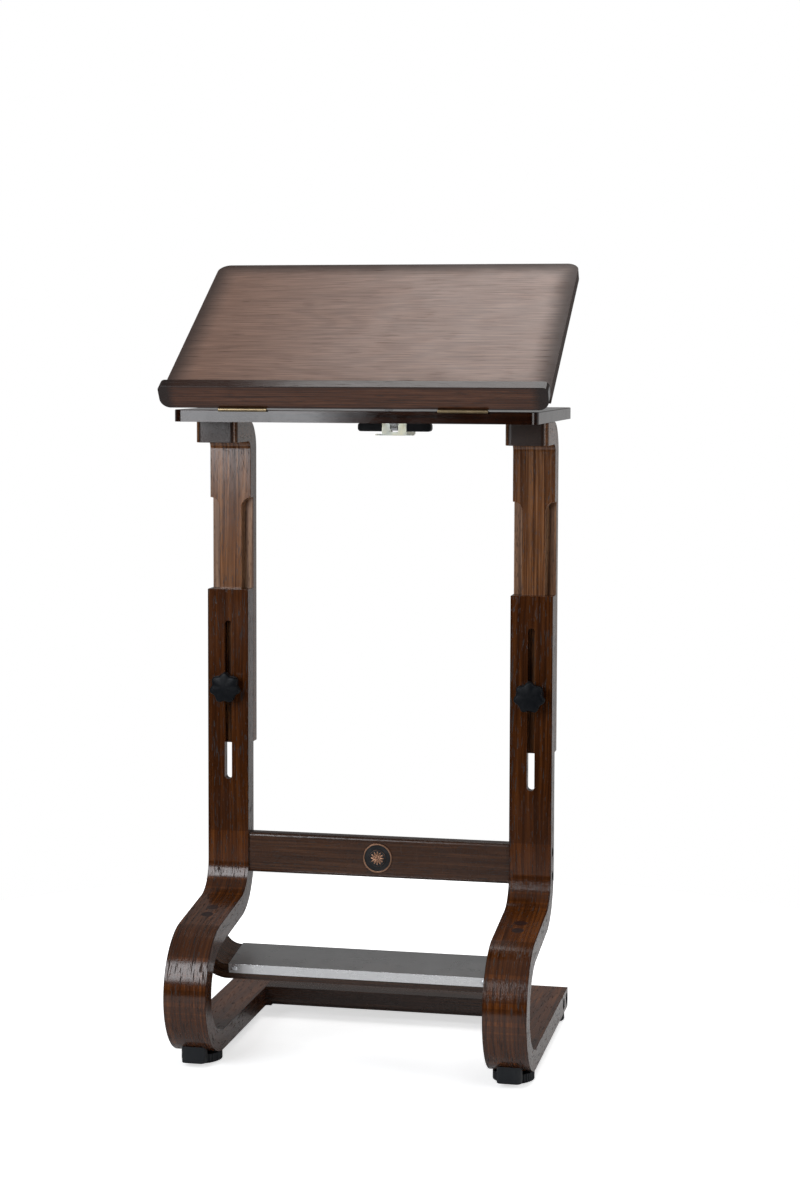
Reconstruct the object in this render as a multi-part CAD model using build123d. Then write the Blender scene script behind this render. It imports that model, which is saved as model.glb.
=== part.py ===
# Standing reading desk: two bent laminated legs in two telescoping pieces each, a fixed base board,
# a hinged sloping top with a ledge, a prop that holds the slope, a footrest and four levelling feet.
# Units are millimetres, +Z up, X across, Y from front to back, floor at Z = 0, origin under the middle.
import math
import os

from build123d import *

os.makedirs("parts", exist_ok=True)

# ---- driving dimensions -------------------------------------------------------------------------
top_w = 600.0            # width of the sloping top and its ledge
top_len = 384.0          # depth of the sloping board behind the ledge
top_t = 19.6             # thickness of the sloping board
top_corner = 20.0        # plan radius of the rear corners of the top
ledge_t = 18.5           # thickness of the ledge
ledge_up = 19.8          # height of the ledge above the board surface
tilt_rest = 32.0         # slope of the top as drawn, degrees

leg_w = 67.4             # width of every laminated leg strap
leg_t = 32.0             # thickness of the laminated stock
leg_x = 247.3            # distance of each leg centre from the middle
leg_y = 17.0             # front face of the lower legs
leg_top_z = 725.6        # top of the lower legs
bulge_r = 101.0          # outer radius of the front curve of the lower legs
bulge_y = -130.0         # centre of the front curve
shelf_deg = 8.0          # fall of the short shelf part of the lower legs toward the front
knee_r = 50.0            # inner radius of the bend under the uprights
arm_end_y = 230.0        # rear end of the floor arms

slot_side = 1.0          # room for the bolt on each side of the height slot
slot_z0 = 416.5          # lower end of the slot
slot_z1 = 674.7          # upper end of the slot
groove_d = 16.0          # depth of the groove behind the slot
groove_z0 = 332.0        # lower end of the groove
rib_w = 37.0             # width of the rib that runs in the groove
slide_gap = 0.3          # clearance around the rib, each side

upper_end_z = 474.0      # lower end of the upper legs
shoulder_z = 872.8       # underside of the shoulders of the upper legs
arm_top_z = 1000.0       # top of the upper arms, underside of the base board
arm_front_y = -51.6      # front end of the upper arms
upper_t = 36.0           # thickness of the upper legs
elbow_r = 12.0           # inner radius of the upper bend
arm_corner = 11.0        # plan radius on the front corners of the upper arms

base_t = 18.5            # thickness of the base board
base_side = 1.0          # how far the base board stands past the legs on each side
base_len = 384.0         # depth of the base board
base_front_y = -169.0    # front edge of the base board
base_corner = 16.0       # plan radius of the base board corners

rail_t = 25.0            # thickness of the cross rail
rail_h = 65.0            # height of the cross rail
rail_z = 297.5           # height of the cross rail centre
rail_round = 6.0         # rounding on the long edges of the cross rail
rear_w = 100.0           # width of the rear floor rail
rear_y = 126.0           # front edge of the rear floor rail
rear_round = 12.0        # rounding under its front edge

bolt_d = 10.0            # carriage bolt shank
bolt_z = 568.1           # bolt height as drawn
knob_r = 25.0            # overall radius of the star knobs
knob_h = 25.0            # length of the star knobs
knob_lobes = 7
run_gap = 0.05           # radial running clearance in turning bores
washer_t = 1.6
face_gap = 0.1           # gap between sliding faces of different parts

tray_t = 24.0            # thickness of the footrest ply
tray_depth = 86.0        # depth of the footrest
tray_y = -90.0           # middle of the footrest
tray_drop = 38.0         # top of the footrest below the shelf underside
tray_r = 26.0            # inner radius of the turned up ends
plate_t = 1.5            # footrest steel plate
plate_lip = 15.0         # depth of its front lip

foot_r = 32.0            # radius of the levelling wheels
foot_h = 15.5            # height from floor to the top of a wheel
pad_t = 2.0              # rubber glide under a wheel
stud_d = 10.0            # levelling stud
foot_front_y = -136.0
foot_rear_y = 199.0

hinge_w = 76.0           # length of the two butt hinges
hinge_x = 170.0          # distance of each hinge from the middle
leaf_t = 1.2             # thickness of the hinge leaves, let into both boards
leaf_len = 24.0          # reach of the hinge leaves over the boards
shut_gap = 0.5           # from the hinge line to each board when shut
barrel_r = 3.0
pin_d = 2.6

prop_len = 190.0         # prop length, equal to the distance of its upper pin from the hinge line
track_deg = 6.0          # fall of the prop track toward the rear
gate_from = 0.9068       # start of the opening for the prop, in prop lengths behind the hinge line
gate_to = 1.8332         # end of that opening
prop_w = 12.0            # depth of the prop bar
prop_t = 10.0            # thickness of the prop bar
bar_d = 8.0              # cross bar at the foot of the prop
track_gap = 0.3
track_nose = 14.0        # reach of the track's flanges in front of its web, where the front screws sit
cheek_x = 18.5           # inside face of the track cheeks
cheek_t = 2.0
grip_w = 40.0            # length of each black grip
grip_end = 61.0          # outer end of each grip

leg_back_y = leg_y + leg_t
slot_w = bolt_d + 2 * slot_side
inner_x = leg_x - leg_w / 2
outer_x = leg_x + leg_w / 2
base_w = 2 * (outer_x + base_side)
bulge_z = foot_h + 0.5 + bulge_r
floor_arm_z = foot_h + 0.5
base_top_z = arm_top_z + base_t
sides = {"left": -1, "right": 1}


def polar(cy, cz, r, deg):
    a = math.radians(deg)
    return (cy + r * math.cos(a), cz + r * math.sin(a))


def save(name, shape):
    shape.label = name
    export_step(shape, "parts/" + name + ".step")
    print(name, round(shape.volume / 1000, 2), "cm3", len(shape.solids()))


def box(x0, x1, y0, y1, z0, z1):
    b = Box(x1 - x0, y1 - y0, z1 - z0)
    return b.moved(Location(((x0 + x1) / 2, (y0 + y1) / 2, (z0 + z1) / 2)))


def cyl_x(r, x0, x1, y, z):
    c = Cylinder(r, abs(x1 - x0))
    return c.moved(Location(((x0 + x1) / 2, y, z), (0, 90, 0)))


def cyl_y(r, y0, y1, x, z):
    c = Cylinder(r, abs(y1 - y0))
    return c.moved(Location((x, (y0 + y1) / 2, z), (90, 0, 0)))


def cyl_z(r, z0, z1, x, y):
    c = Cylinder(r, abs(z1 - z0))
    return c.moved(Location((x, y, (z0 + z1) / 2)))


def extrude_yz(outline, x0, x1):
    # outline: list of ("line", p, q) or ("arc", p, m, q) in (y, z)
    parts = []
    for item in outline:
        pts = [Vector(x0, p[0], p[1]) for p in item[1:]]
        if item[0] == "line":
            parts.append(Edge.make_line(pts[0], pts[1]))
        else:
            parts.append(Edge.make_three_point_arc(pts[0], pts[1], pts[2]))
    face = Face(Wire(parts))
    solid = Solid.extrude(face, Vector(x1 - x0, 0, 0))
    return Part(solid.wrapped)


# ---- lower legs ---------------------------------------------------------------------------------
s = math.radians(shelf_deg)
bulge_in = bulge_r - leg_t
shelf_front = polar(bulge_y, bulge_z, bulge_r, 90 + shelf_deg)
shelf_under = polar(bulge_y, bulge_z, bulge_in, 90 + shelf_deg)
knee_y = leg_y - knee_r
knee_z = shelf_front[1] + (knee_r + (knee_y - shelf_front[0]) * math.sin(s)) / math.cos(s)
knee_out = knee_r + leg_t
knee_front = polar(knee_y, knee_z, knee_r, -90 + shelf_deg)
knee_back = polar(knee_y, knee_z, knee_out, -90 + shelf_deg)
half_knee = (-90 + shelf_deg) / 2
mid_bulge = (90 + shelf_deg + 270) / 2

lower_outline = [
    ("line", (leg_y, leg_top_z), (leg_y, knee_z)),
    ("arc", (leg_y, knee_z), polar(knee_y, knee_z, knee_r, half_knee), knee_front),
    ("line", knee_front, shelf_front),
    ("arc", shelf_front, polar(bulge_y, bulge_z, bulge_r, mid_bulge), (bulge_y, floor_arm_z)),
    ("line", (bulge_y, floor_arm_z), (arm_end_y, floor_arm_z)),
    ("line", (arm_end_y, floor_arm_z), (arm_end_y, floor_arm_z + leg_t)),
    ("line", (arm_end_y, floor_arm_z + leg_t), (bulge_y, floor_arm_z + leg_t)),
    ("arc", (bulge_y, floor_arm_z + leg_t), polar(bulge_y, bulge_z, bulge_in, mid_bulge), shelf_under),
    ("line", shelf_under, knee_back),
    ("arc", knee_back, polar(knee_y, knee_z, knee_out, half_knee), (leg_back_y, knee_z)),
    ("line", (leg_back_y, knee_z), (leg_back_y, leg_top_z)),
    ("line", (leg_back_y, leg_top_z), (leg_y, leg_top_z)),
]

plug_r = 7.75
plug_d = 6.0
arm_plug_r = 10.0
rail_plug_y = leg_y + 18.0
rail_plug_z = [rail_z - 19.0, rail_z + 19.5]
arm_plug_y = [182.0, 217.0]
arm_plug_z = floor_arm_z + leg_t / 2
shelf_plug_v = [-15.0, 15.0]
shelf_plug_r = 10.0


def on_shelf(v, h):
    # point at distance v behind the footrest middle along the shelf, h above its top surface
    z = shelf_front[1] + (tray_y - shelf_front[0]) * math.tan(s)
    return (tray_y + v * math.cos(s) - h * math.sin(s), z + v * math.sin(s) + h * math.cos(s))


def shelf_cyl(r, v, h0, h1, x):
    p = on_shelf(v, (h0 + h1) / 2)
    return Cylinder(r, h1 - h0).moved(Location((x, p[0], p[1]), (shelf_deg, 0, 0)))


insert_r = 8.0
insert_h = 24.0
stud_top = floor_arm_z + insert_h - 2.0

for side, sx in sides.items():
    cx = sx * leg_x
    leg = extrude_yz(lower_outline, cx - leg_w / 2, cx + leg_w / 2)
    slot = box(cx - slot_w / 2, cx + slot_w / 2, leg_y - 1, leg_back_y + 1,
               slot_z0 + slot_w / 2, slot_z1 - slot_w / 2)
    leg -= slot
    leg -= cyl_y(slot_w / 2, leg_y - 1, leg_back_y + 1, cx, slot_z0 + slot_w / 2)
    leg -= cyl_y(slot_w / 2, leg_y - 1, leg_back_y + 1, cx, slot_z1 - slot_w / 2)
    half = rib_w / 2 + slide_gap
    leg -= box(cx - half, cx + half, leg_back_y - groove_d, leg_back_y + 1, groove_z0, leg_top_z + 1)
    xo = sx * outer_x
    xi = sx * (outer_x - plug_d)
    for z in rail_plug_z:
        leg -= cyl_x(plug_r, xo + sx, xi, rail_plug_y, z)
    for y in arm_plug_y:
        leg -= cyl_x(arm_plug_r, xo + sx, xi, y, arm_plug_z)
    for v in shelf_plug_v:
        leg -= shelf_cyl(shelf_plug_r, v, -plug_d, 1, cx)
    for y in (foot_front_y, foot_rear_y):
        leg -= cyl_z(insert_r, floor_arm_z - 1, floor_arm_z + insert_h, cx, y)
    save("leg_lower_" + side, leg)

    rails = Part()
    for z in rail_plug_z:
        rails += cyl_x(plug_r, xo, xi, rail_plug_y, z)
    save("rail_plugs_" + side, rails)
    arms = Part()
    for y in arm_plug_y:
        arms += cyl_x(arm_plug_r, xo, xi, y, arm_plug_z)
    save("arm_plugs_" + side, arms)
    caps = Part()
    for v in shelf_plug_v:
        caps += shelf_cyl(shelf_plug_r, v, -plug_d, 0, cx)
    save("shelf_plugs_" + side, caps)

# ---- upper legs ---------------------------------------------------------------------------------
rib_y = leg_back_y - groove_d + slide_gap
upper_back_y = rib_y + upper_t
strip_y = leg_back_y + slide_gap
elbow_out = elbow_r + upper_t
elbow_y = rib_y - elbow_r
elbow_z = arm_top_z - elbow_out
under_z = arm_top_z - upper_t
upper_outline = [
    ("line", (rib_y, upper_end_z), (rib_y, elbow_z)),
    ("arc", (rib_y, elbow_z), polar(elbow_y, elbow_z, elbow_r, 45), (elbow_y, under_z)),
    ("line", (elbow_y, under_z), (arm_front_y, under_z)),
    ("line", (arm_front_y, under_z), (arm_front_y, arm_top_z)),
    ("line", (arm_front_y, arm_top_z), (elbow_y, arm_top_z)),
    ("arc", (elbow_y, arm_top_z), polar(elbow_y, elbow_z, elbow_out, 45), (upper_back_y, elbow_z)),
    ("line", (upper_back_y, elbow_z), (upper_back_y, upper_end_z)),
    ("line", (upper_back_y, upper_end_z), (rib_y, upper_end_z)),
]
shoulder_r = leg_w / 2 - rib_w / 2
head_r = 11.0
head_h = 5.0
knob_front = leg_y - face_gap - washer_t - knob_h
bolt_front = knob_front + 7.0

for side, sx in sides.items():
    cx = sx * leg_x
    leg = extrude_yz(upper_outline, cx - leg_w / 2, cx + leg_w / 2)
    for e in (-1, 1):
        # side strips are cut back to the rear layer; the cut runs out in a quarter round shoulder
        xa = cx + e * rib_w / 2
        xb = cx + e * (leg_w / 2 + 1)
        cut = box(min(xa, xb), max(xa, xb), rib_y - 1, strip_y, upper_end_z - 1, shoulder_z - shoulder_r)
        leg -= cut
        lobe = cyl_y(shoulder_r, rib_y - 1, strip_y, cx + e * leg_w / 2, shoulder_z - shoulder_r)
        leg -= lobe
        # rounded front corners of the arm
        xc = cx + e * (leg_w / 2 - arm_corner)
        yc = arm_front_y + arm_corner
        xs = sorted((xc, cx + e * (leg_w / 2 + 1)))
        nip = box(xs[0], xs[1], arm_front_y - 1, yc, under_z - 1, arm_top_z + 1)
        nip -= cyl_z(arm_corner, under_z - 2, arm_top_z + 2, xc, yc)
        leg -= nip
    leg -= cyl_y(bolt_d / 2, rib_y - 1, upper_back_y + 1, cx, bolt_z)
    save("leg_upper_" + side, leg)

    bolt = cyl_y(bolt_d / 2, bolt_front, upper_back_y, cx, bolt_z)
    bolt += cyl_y(head_r, upper_back_y, upper_back_y + head_h, cx, bolt_z)
    save("bolt_" + side, bolt)

    washer_y = leg_y - face_gap
    washer = cyl_y(12.5, washer_y - washer_t, washer_y, cx, bolt_z)
    washer -= cyl_y(bolt_d / 2, washer_y - washer_t - 1, washer_y + 1, cx, bolt_z)
    save("washer_" + side, washer)

    lobe_r = 6.4
    ring_r = knob_r - lobe_r
    star = Circle(ring_r + 0.5)
    for i in range(knob_lobes):
        a = math.radians(90 + 360 * i / knob_lobes)
        star += Pos(ring_r * math.cos(a), ring_r * math.sin(a)) * Circle(lobe_r)
    head_z0 = 9.0
    knob = extrude(star, 14.0).moved(Location((0, 0, head_z0)))
    knob += Cylinder(11.5, head_z0).moved(Location((0, 0, head_z0 / 2)))
    knob += Cylinder(12.0, 2.0).moved(Location((0, 0, knob_h - 1)))
    knob -= Cylinder(bolt_d / 2 + run_gap, 38.0).moved(Location((0, 0, 0)))
    knob_y = leg_y - face_gap - washer_t - face_gap
    knob = knob.moved(Location((cx, knob_y, bolt_z), (90, 0, 0)))
    save("knob_" + side, knob)

# ---- rails and badge ----------------------------------------------------------------------------
rail_y = leg_y + 3.5
rail = box(-inner_x, inner_x, rail_y, rail_y + rail_t, rail_z - rail_h / 2, rail_z + rail_h / 2)
rail = fillet(rail.edges().filter_by(Axis.X), rail_round)
badge_r = 23.5
seat_d = 2.0
rail -= cyl_y(badge_r, rail_y - 1, rail_y + seat_d, 0, rail_z)
save("cross_rail", rail)

badge = cyl_y(badge_r, rail_y - 2.5, rail_y + seat_d, 0, rail_z)
badge -= cyl_y(badge_r - 2.2, rail_y - 4, rail_y - 1.0, 0, rail_z)
save("badge_ring", badge)
disc = cyl_y(13.5, rail_y - 3.0, rail_y - 1.0, 0, rail_z)
save("badge_disc", disc)

rear = box(-inner_x, inner_x, rear_y, rear_y + rear_w, floor_arm_z, floor_arm_z + leg_t)
stop = 9.0
low = box(-inner_x + stop, inner_x - stop, rear_y - 1, rear_y + rear_round,
          floor_arm_z - 1, floor_arm_z + rear_round)
low -= cyl_x(rear_round, -inner_x, inner_x, rear_y + rear_round, floor_arm_z + rear_round)
rear -= low
save("rear_rail", rear)

# ---- footrest -----------------------------------------------------------------------------------
origin = on_shelf(0, -leg_t - tray_drop)
tray_plane = Plane(origin=(0, origin[0], origin[1]), x_dir=(1, 0, 0),
                   z_dir=(0, -math.cos(s), -math.sin(s)))
wall_x = leg_x - tray_t / 2
wall_h = tray_drop
ro = tray_r + tray_t
rx = wall_x - tray_r


def arc_pt(cx, cy, r, deg):
    a = math.radians(deg)
    return (cx + r * math.cos(a), cy + r * math.sin(a))


def tray_loop():
    c = (rx, tray_r)
    k = (-rx, tray_r)
    pts = []
    pts.append(Edge.make_line((-rx, -tray_t, 0), (rx, -tray_t, 0)))
    m = arc_pt(c[0], c[1], ro, -45)
    pts.append(Edge.make_three_point_arc((rx, -tray_t, 0), (m[0], m[1], 0), (rx + ro, tray_r, 0)))
    pts.append(Edge.make_line((rx + ro, tray_r, 0), (rx + ro, wall_h, 0)))
    pts.append(Edge.make_line((rx + ro, wall_h, 0), (wall_x, wall_h, 0)))
    pts.append(Edge.make_line((wall_x, wall_h, 0), (wall_x, tray_r, 0)))
    m = arc_pt(c[0], c[1], tray_r, -45)
    pts.append(Edge.make_three_point_arc((wall_x, tray_r, 0), (m[0], m[1], 0), (rx, 0, 0)))
    pts.append(Edge.make_line((rx, 0, 0), (-rx, 0, 0)))
    m = arc_pt(k[0], k[1], tray_r, 225)
    pts.append(Edge.make_three_point_arc((-rx, 0, 0), (m[0], m[1], 0), (-wall_x, tray_r, 0)))
    pts.append(Edge.make_line((-wall_x, tray_r, 0), (-wall_x, wall_h, 0)))
    pts.append(Edge.make_line((-wall_x, wall_h, 0), (-rx - ro, wall_h, 0)))
    pts.append(Edge.make_line((-rx - ro, wall_h, 0), (-rx - ro, tray_r, 0)))
    m = arc_pt(k[0], k[1], ro, 225)
    pts.append(Edge.make_three_point_arc((-rx - ro, tray_r, 0), (m[0], m[1], 0), (-rx, -tray_t, 0)))
    return Face(Wire(pts))


def tray_place(shape):
    return shape.moved(tray_plane.location)


def tray_box(x0, x1, h0, h1, v0, v1):
    # v runs toward the front along the footrest, h is up from its top surface
    b = Box(x1 - x0, h1 - h0, v1 - v0).moved(Location(((x0 + x1) / 2, (h0 + h1) / 2, (v0 + v1) / 2)))
    return tray_place(b)


tray = Part(Solid.extrude(tray_loop(), Vector(0, 0, tray_depth)).wrapped)
tray = tray.moved(Location((0, 0, -tray_depth / 2)))
tray = tray_place(tray)
plate_x = rx - 2.0
screw_x = plate_x - 10.0
screw_r = 2.0
half_d = tray_depth / 2
plate = tray_box(-plate_x, plate_x, 0, plate_t, -half_d, half_d + plate_t)
plate += tray_box(-plate_x, plate_x, plate_t - plate_lip, plate_t, half_d, half_d + plate_t)
screws = Part()
for sx in (-1, 1):
    shank = Cylinder(screw_r, 18.0).moved(Location((sx * screw_x, -6.0, half_d - 7.5)))
    head = Cylinder(4.0, 2.0).moved(Location((sx * screw_x, -6.0, half_d + plate_t + 1.0)))
    shank = tray_place(shank)
    head = tray_place(head)
    tray -= shank
    plate -= shank
    screws += shank + head
save("footrest_tray", tray)
save("footrest_plate", plate)
save("plate_screws", screws)

# ---- levelling feet -----------------------------------------------------------------------------
knurls = 40
stud_z0 = pad_t + 5.0
for row, y in (("front", foot_front_y), ("rear", foot_rear_y)):
    for side, sx in sides.items():
        cx = sx * leg_x
        name = row + "_" + side
        insert = cyl_z(insert_r, floor_arm_z, floor_arm_z + insert_h, cx, y)
        insert -= cyl_z(stud_d / 2 + run_gap, floor_arm_z - 1, floor_arm_z + insert_h + 1, cx, y)
        save("insert_" + name, insert)
        rim = Circle(foot_r)
        for i in range(knurls):
            a = 2 * math.pi * i / knurls
            rim -= Pos(foot_r * math.cos(a), foot_r * math.sin(a)) * Circle(1.3)
        wheel = extrude(rim, foot_h - pad_t).moved(Location((cx, y, pad_t)))
        boss = 6.0
        wheel -= cyl_z(boss + run_gap, pad_t - 1, pad_t + 3.0, cx, y)
        wheel -= cyl_z(stud_d / 2, stud_z0, foot_h + 1, cx, y)
        save("wheel_" + name, wheel)
        save("stud_" + name, cyl_z(stud_d / 2, stud_z0, stud_top, cx, y))
        pad = cyl_z(27.0, 0, pad_t - face_gap, cx, y)
        pad += cyl_z(boss, pad_t - face_gap - 0.5, pad_t + 2.5, cx, y)
        save("pad_" + name, pad)

toe_w = 38.0
toe_y0 = -188.0
toe_z0 = 7.0
toe_z1 = 33.0
toe_corner = 8.0
for side, sx in sides.items():
    cx = sx * leg_x
    toe = box(cx - toe_w / 2, cx + toe_w / 2, toe_y0, foot_front_y - foot_r - 1.5, toe_z0, toe_z1)
    toe -= cyl_x(bulge_r, cx - toe_w, cx + toe_w, bulge_y, bulge_z)
    front = toe.edges().filter_by(Axis.Z).sort_by(Axis.Y)[0:2]
    toe = fillet(front, toe_corner)
    save("toe_block_" + side, toe)

# ---- base board ---------------------------------------------------------------------------------
hinge_y = base_front_y - barrel_r - 0.3
hinge_z = base_top_z + shut_gap
up_z = hinge_z + shut_gap
hinge_loc = Location((0, hinge_y, hinge_z))


def on_track(dist):
    a = math.radians(track_deg)
    return (hinge_y + dist * math.cos(a), hinge_z - dist * math.sin(a))


def leaf_seats(z0, z1):
    # the shallow seats that the two hinges are let into
    seats = Part()
    for sx in sides.values():
        cx = sx * hinge_x
        seats += box(cx - hinge_w / 2, cx + hinge_w / 2, base_front_y - 1, base_front_y + leaf_len, z0, z1)
    return seats


prop_foot = on_track(2 * prop_len * math.cos(math.radians(tilt_rest)))
prop_shut = on_track(2 * prop_len)
prop_head_shut = on_track(prop_len)
gate_w = 30.0
gate_y0 = hinge_y + gate_from * prop_len
gate_y1 = hinge_y + gate_to * prop_len

board = box(-base_w / 2, base_w / 2, base_front_y, base_front_y + base_len, arm_top_z, base_top_z)
board = fillet(board.edges().filter_by(Axis.Z), base_corner)
board -= box(-gate_w / 2, gate_w / 2, gate_y0, gate_y1, arm_top_z - 1, base_top_z + 1)
board = fillet(board.edges().group_by(Axis.Z)[-1].group_by(Axis.Y)[0], 1.5)
board -= leaf_seats(base_top_z - leaf_t, base_top_z + 1)
save("base_board", board)

# ---- prop track under the base board ------------------------------------------------------------
web_y = prop_foot[0] - bar_d / 2 - track_gap - 4.0
track_end = prop_shut[0] + bar_d / 2 + 6.0
cheek_z0 = prop_shut[1] - bar_d / 2 - 3.5
track_screw_y = (web_y - track_nose / 2, track_end - 14.0)
track = Part()
for e in (-1, 1):
    xs = sorted((e * cheek_x, e * (cheek_x + cheek_t)))
    cheek = box(xs[0], xs[1], web_y, track_end, cheek_z0, arm_top_z)
    run_len = math.hypot(prop_shut[0] - prop_foot[0], prop_shut[1] - prop_foot[1])
    mid = ((prop_shut[0] + prop_foot[0]) / 2, (prop_shut[1] + prop_foot[1]) / 2)
    hole_h = bar_d + 2 * track_gap
    run = Box(10.0, run_len, hole_h).moved(Location((e * cheek_x, mid[0], mid[1]), (-track_deg, 0, 0)))
    cheek -= run
    cheek -= cyl_x(hole_h / 2, e * cheek_x - 5, e * cheek_x + 5, prop_foot[0], prop_foot[1])
    cheek -= cyl_x(hole_h / 2, e * cheek_x - 5, e * cheek_x + 5, prop_shut[0], prop_shut[1])
    track += cheek
    fx = sorted((e * cheek_x, e * (cheek_x + 17.0)))
    flange = box(fx[0], fx[1], web_y - track_nose, track_end, arm_top_z - 2.0, arm_top_z)
    for y in track_screw_y:
        flange -= cyl_z(2.2, arm_top_z - 3, arm_top_z + 1, e * (cheek_x + 10.5), y)
    track += flange
    lx = sorted((e * cheek_x, e * (cheek_x + 13.0)))
    track += box(lx[0], lx[1], web_y, web_y + 12.0, cheek_z0, cheek_z0 + 2.0)
web = box(-cheek_x - cheek_t, cheek_x + cheek_t, web_y, web_y + 2.0, cheek_z0, arm_top_z)
web -= box(-prop_t / 2 - 1.5, prop_t / 2 + 1.5, web_y - 1, web_y + 3, cheek_z0 + 6.0, arm_top_z + 1)
track += web
save("prop_track", track)
track_screws = Part()
for e in (-1, 1):
    for y in track_screw_y:
        track_screws += cyl_z(4.0, arm_top_z - 4.0, arm_top_z - 2.0, e * (cheek_x + 10.5), y)
        track_screws += cyl_z(2.2, arm_top_z - 2.0, arm_top_z, e * (cheek_x + 10.5), y)
save("track_screws", track_screws)

# ---- hinges, top, ledge and prop, drawn shut and then turned up to the rest slope ------------------


def lift(shape):
    turn = Location((0, hinge_y, hinge_z)) * Location((0, 0, 0), (tilt_rest, 0, 0))
    return shape.moved(Location((0, -hinge_y, -hinge_z))).moved(turn)


knuckles = 5
pitch = hinge_w / knuckles
for side, sx in sides.items():
    cx = sx * hinge_x
    x0 = cx - hinge_w / 2
    low_z = base_top_z - leaf_t
    low_leaf = box(x0, x0 + hinge_w, base_front_y, base_front_y + leaf_len, low_z, base_top_z)
    up_leaf = box(x0, x0 + hinge_w, base_front_y, base_front_y + leaf_len, up_z, up_z + leaf_t)
    for k in range(knuckles):
        xa = x0 + k * pitch + 0.1
        xb = x0 + (k + 1) * pitch - 0.1
        barrel = cyl_x(barrel_r, xa, xb, hinge_y, hinge_z)
        if k % 2 == 0:
            tab = box(xa, xb, hinge_y, base_front_y + 1, low_z, base_top_z)
            low_leaf += barrel + tab
        else:
            tab = box(xa, xb, hinge_y, base_front_y + 1, up_z, up_z + leaf_t)
            up_leaf += barrel + tab
    low_leaf -= cyl_x(pin_d / 2, x0 - 1, x0 + hinge_w + 1, hinge_y, hinge_z)
    up_leaf -= cyl_x(pin_d / 2 + run_gap, x0 - 1, x0 + hinge_w + 1, hinge_y, hinge_z)
    save("hinge_lower_" + side, low_leaf)
    save("hinge_upper_" + side, lift(up_leaf))
    pin = cyl_x(pin_d / 2, x0 - 0.8, x0 + hinge_w + 0.8, hinge_y, hinge_z)
    save("hinge_pin_" + side, pin)

top_z0 = up_z
top_z1 = top_z0 + top_t
ledge_y0 = base_front_y
top_y0 = ledge_y0 + ledge_t
panel = box(-top_w / 2, top_w / 2, top_y0, top_y0 + top_len, top_z0, top_z1)
rear_edges = panel.edges().filter_by(Axis.Z).group_by(Axis.Y)[-1]
panel = fillet(rear_edges, top_corner)
seats = leaf_seats(up_z - 1, up_z + leaf_t)
panel -= seats
lug_y = prop_head_shut[0]
lug_z = prop_head_shut[1]
save("top_board", lift(panel))

ledge = box(-top_w / 2, top_w / 2, ledge_y0, top_y0, top_z0, top_z1 + ledge_up)
low_edges = ledge.edges().filter_by(Axis.Y).group_by(Axis.Z)[0]
ledge = fillet(low_edges, 16.0)
high_edges = ledge.edges().filter_by(Axis.Y).group_by(Axis.Z)[-1]
ledge = fillet(high_edges, 8.0)
ledge -= seats
save("ledge", lift(ledge))

ear_gap = 0.4
ear_t = 2.0
ear_x = prop_t / 2 + ear_gap
ear_r = 7.0
bracket = box(-ear_x - ear_t, ear_x + ear_t, lug_y - 14, lug_y + 14, top_z0 - 2.0, top_z0)
upper_pin_d = 6.0
for e in (-1, 1):
    xs = sorted((e * ear_x, e * (ear_x + ear_t)))
    bracket += box(xs[0], xs[1], lug_y - ear_r, lug_y + ear_r, lug_z, top_z0)
    bracket += cyl_x(ear_r, xs[0], xs[1], lug_y, lug_z)
bracket -= cyl_x(upper_pin_d / 2, -20, 20, lug_y, lug_z)
save("prop_lug", lift(bracket))
upper_pin = cyl_x(upper_pin_d / 2, -ear_x - ear_t - 1.5, ear_x + ear_t + 1.5, lug_y, lug_z)
save("prop_pin", lift(upper_pin))

# the prop at rest runs from its upper pin down to the cross bar in the track
a = math.radians(tilt_rest - track_deg)
head = (hinge_y + prop_len * math.cos(a), hinge_z + prop_len * math.sin(a))
mid = ((head[0] + prop_foot[0]) / 2, (head[1] + prop_foot[1]) / 2)
lean = math.degrees(math.atan2(prop_foot[1] - head[1], prop_foot[0] - head[0]))
prop = Box(prop_t, prop_len, prop_w).moved(Location((0, mid[0], mid[1]), (lean, 0, 0)))
prop += cyl_x(prop_w / 2, -prop_t / 2, prop_t / 2, head[0], head[1])
prop += cyl_x(prop_w / 2, -prop_t / 2, prop_t / 2, prop_foot[0], prop_foot[1])
prop -= cyl_x(upper_pin_d / 2 + run_gap, -20, 20, head[0], head[1])
prop -= cyl_x(bar_d / 2, -20, 20, prop_foot[0], prop_foot[1])
save("prop_arm", prop)
bar = cyl_x(bar_d / 2, -grip_end + 4, grip_end - 4, prop_foot[0], prop_foot[1])
save("prop_bar", bar)
grip_h = 14.0
grip_d = 16.0
for side, sx in sides.items():
    xs = sorted((sx * (grip_end - grip_w + 0.3), sx * grip_end))
    grip = box(xs[0], xs[1], prop_foot[0] - grip_d / 2, prop_foot[0] + grip_d / 2,
               prop_foot[1] - grip_h / 2, prop_foot[1] + grip_h / 2)
    ends = grip.edges().filter_by(Axis.Y).sort_by(Axis.X)
    picks = ends[-2:] if sx > 0 else ends[0:2]
    grip = fillet(picks, 5.0)
    grip -= bar
    save("prop_grip_" + side, grip)

print("hinge axis", round(hinge_y, 3), round(hinge_z, 3))
print("prop head", [round(v, 3) for v in head], "foot", [round(v, 3) for v in prop_foot])
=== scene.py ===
import math
import bmesh
import bpy
from mathutils import Matrix, Vector


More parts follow.
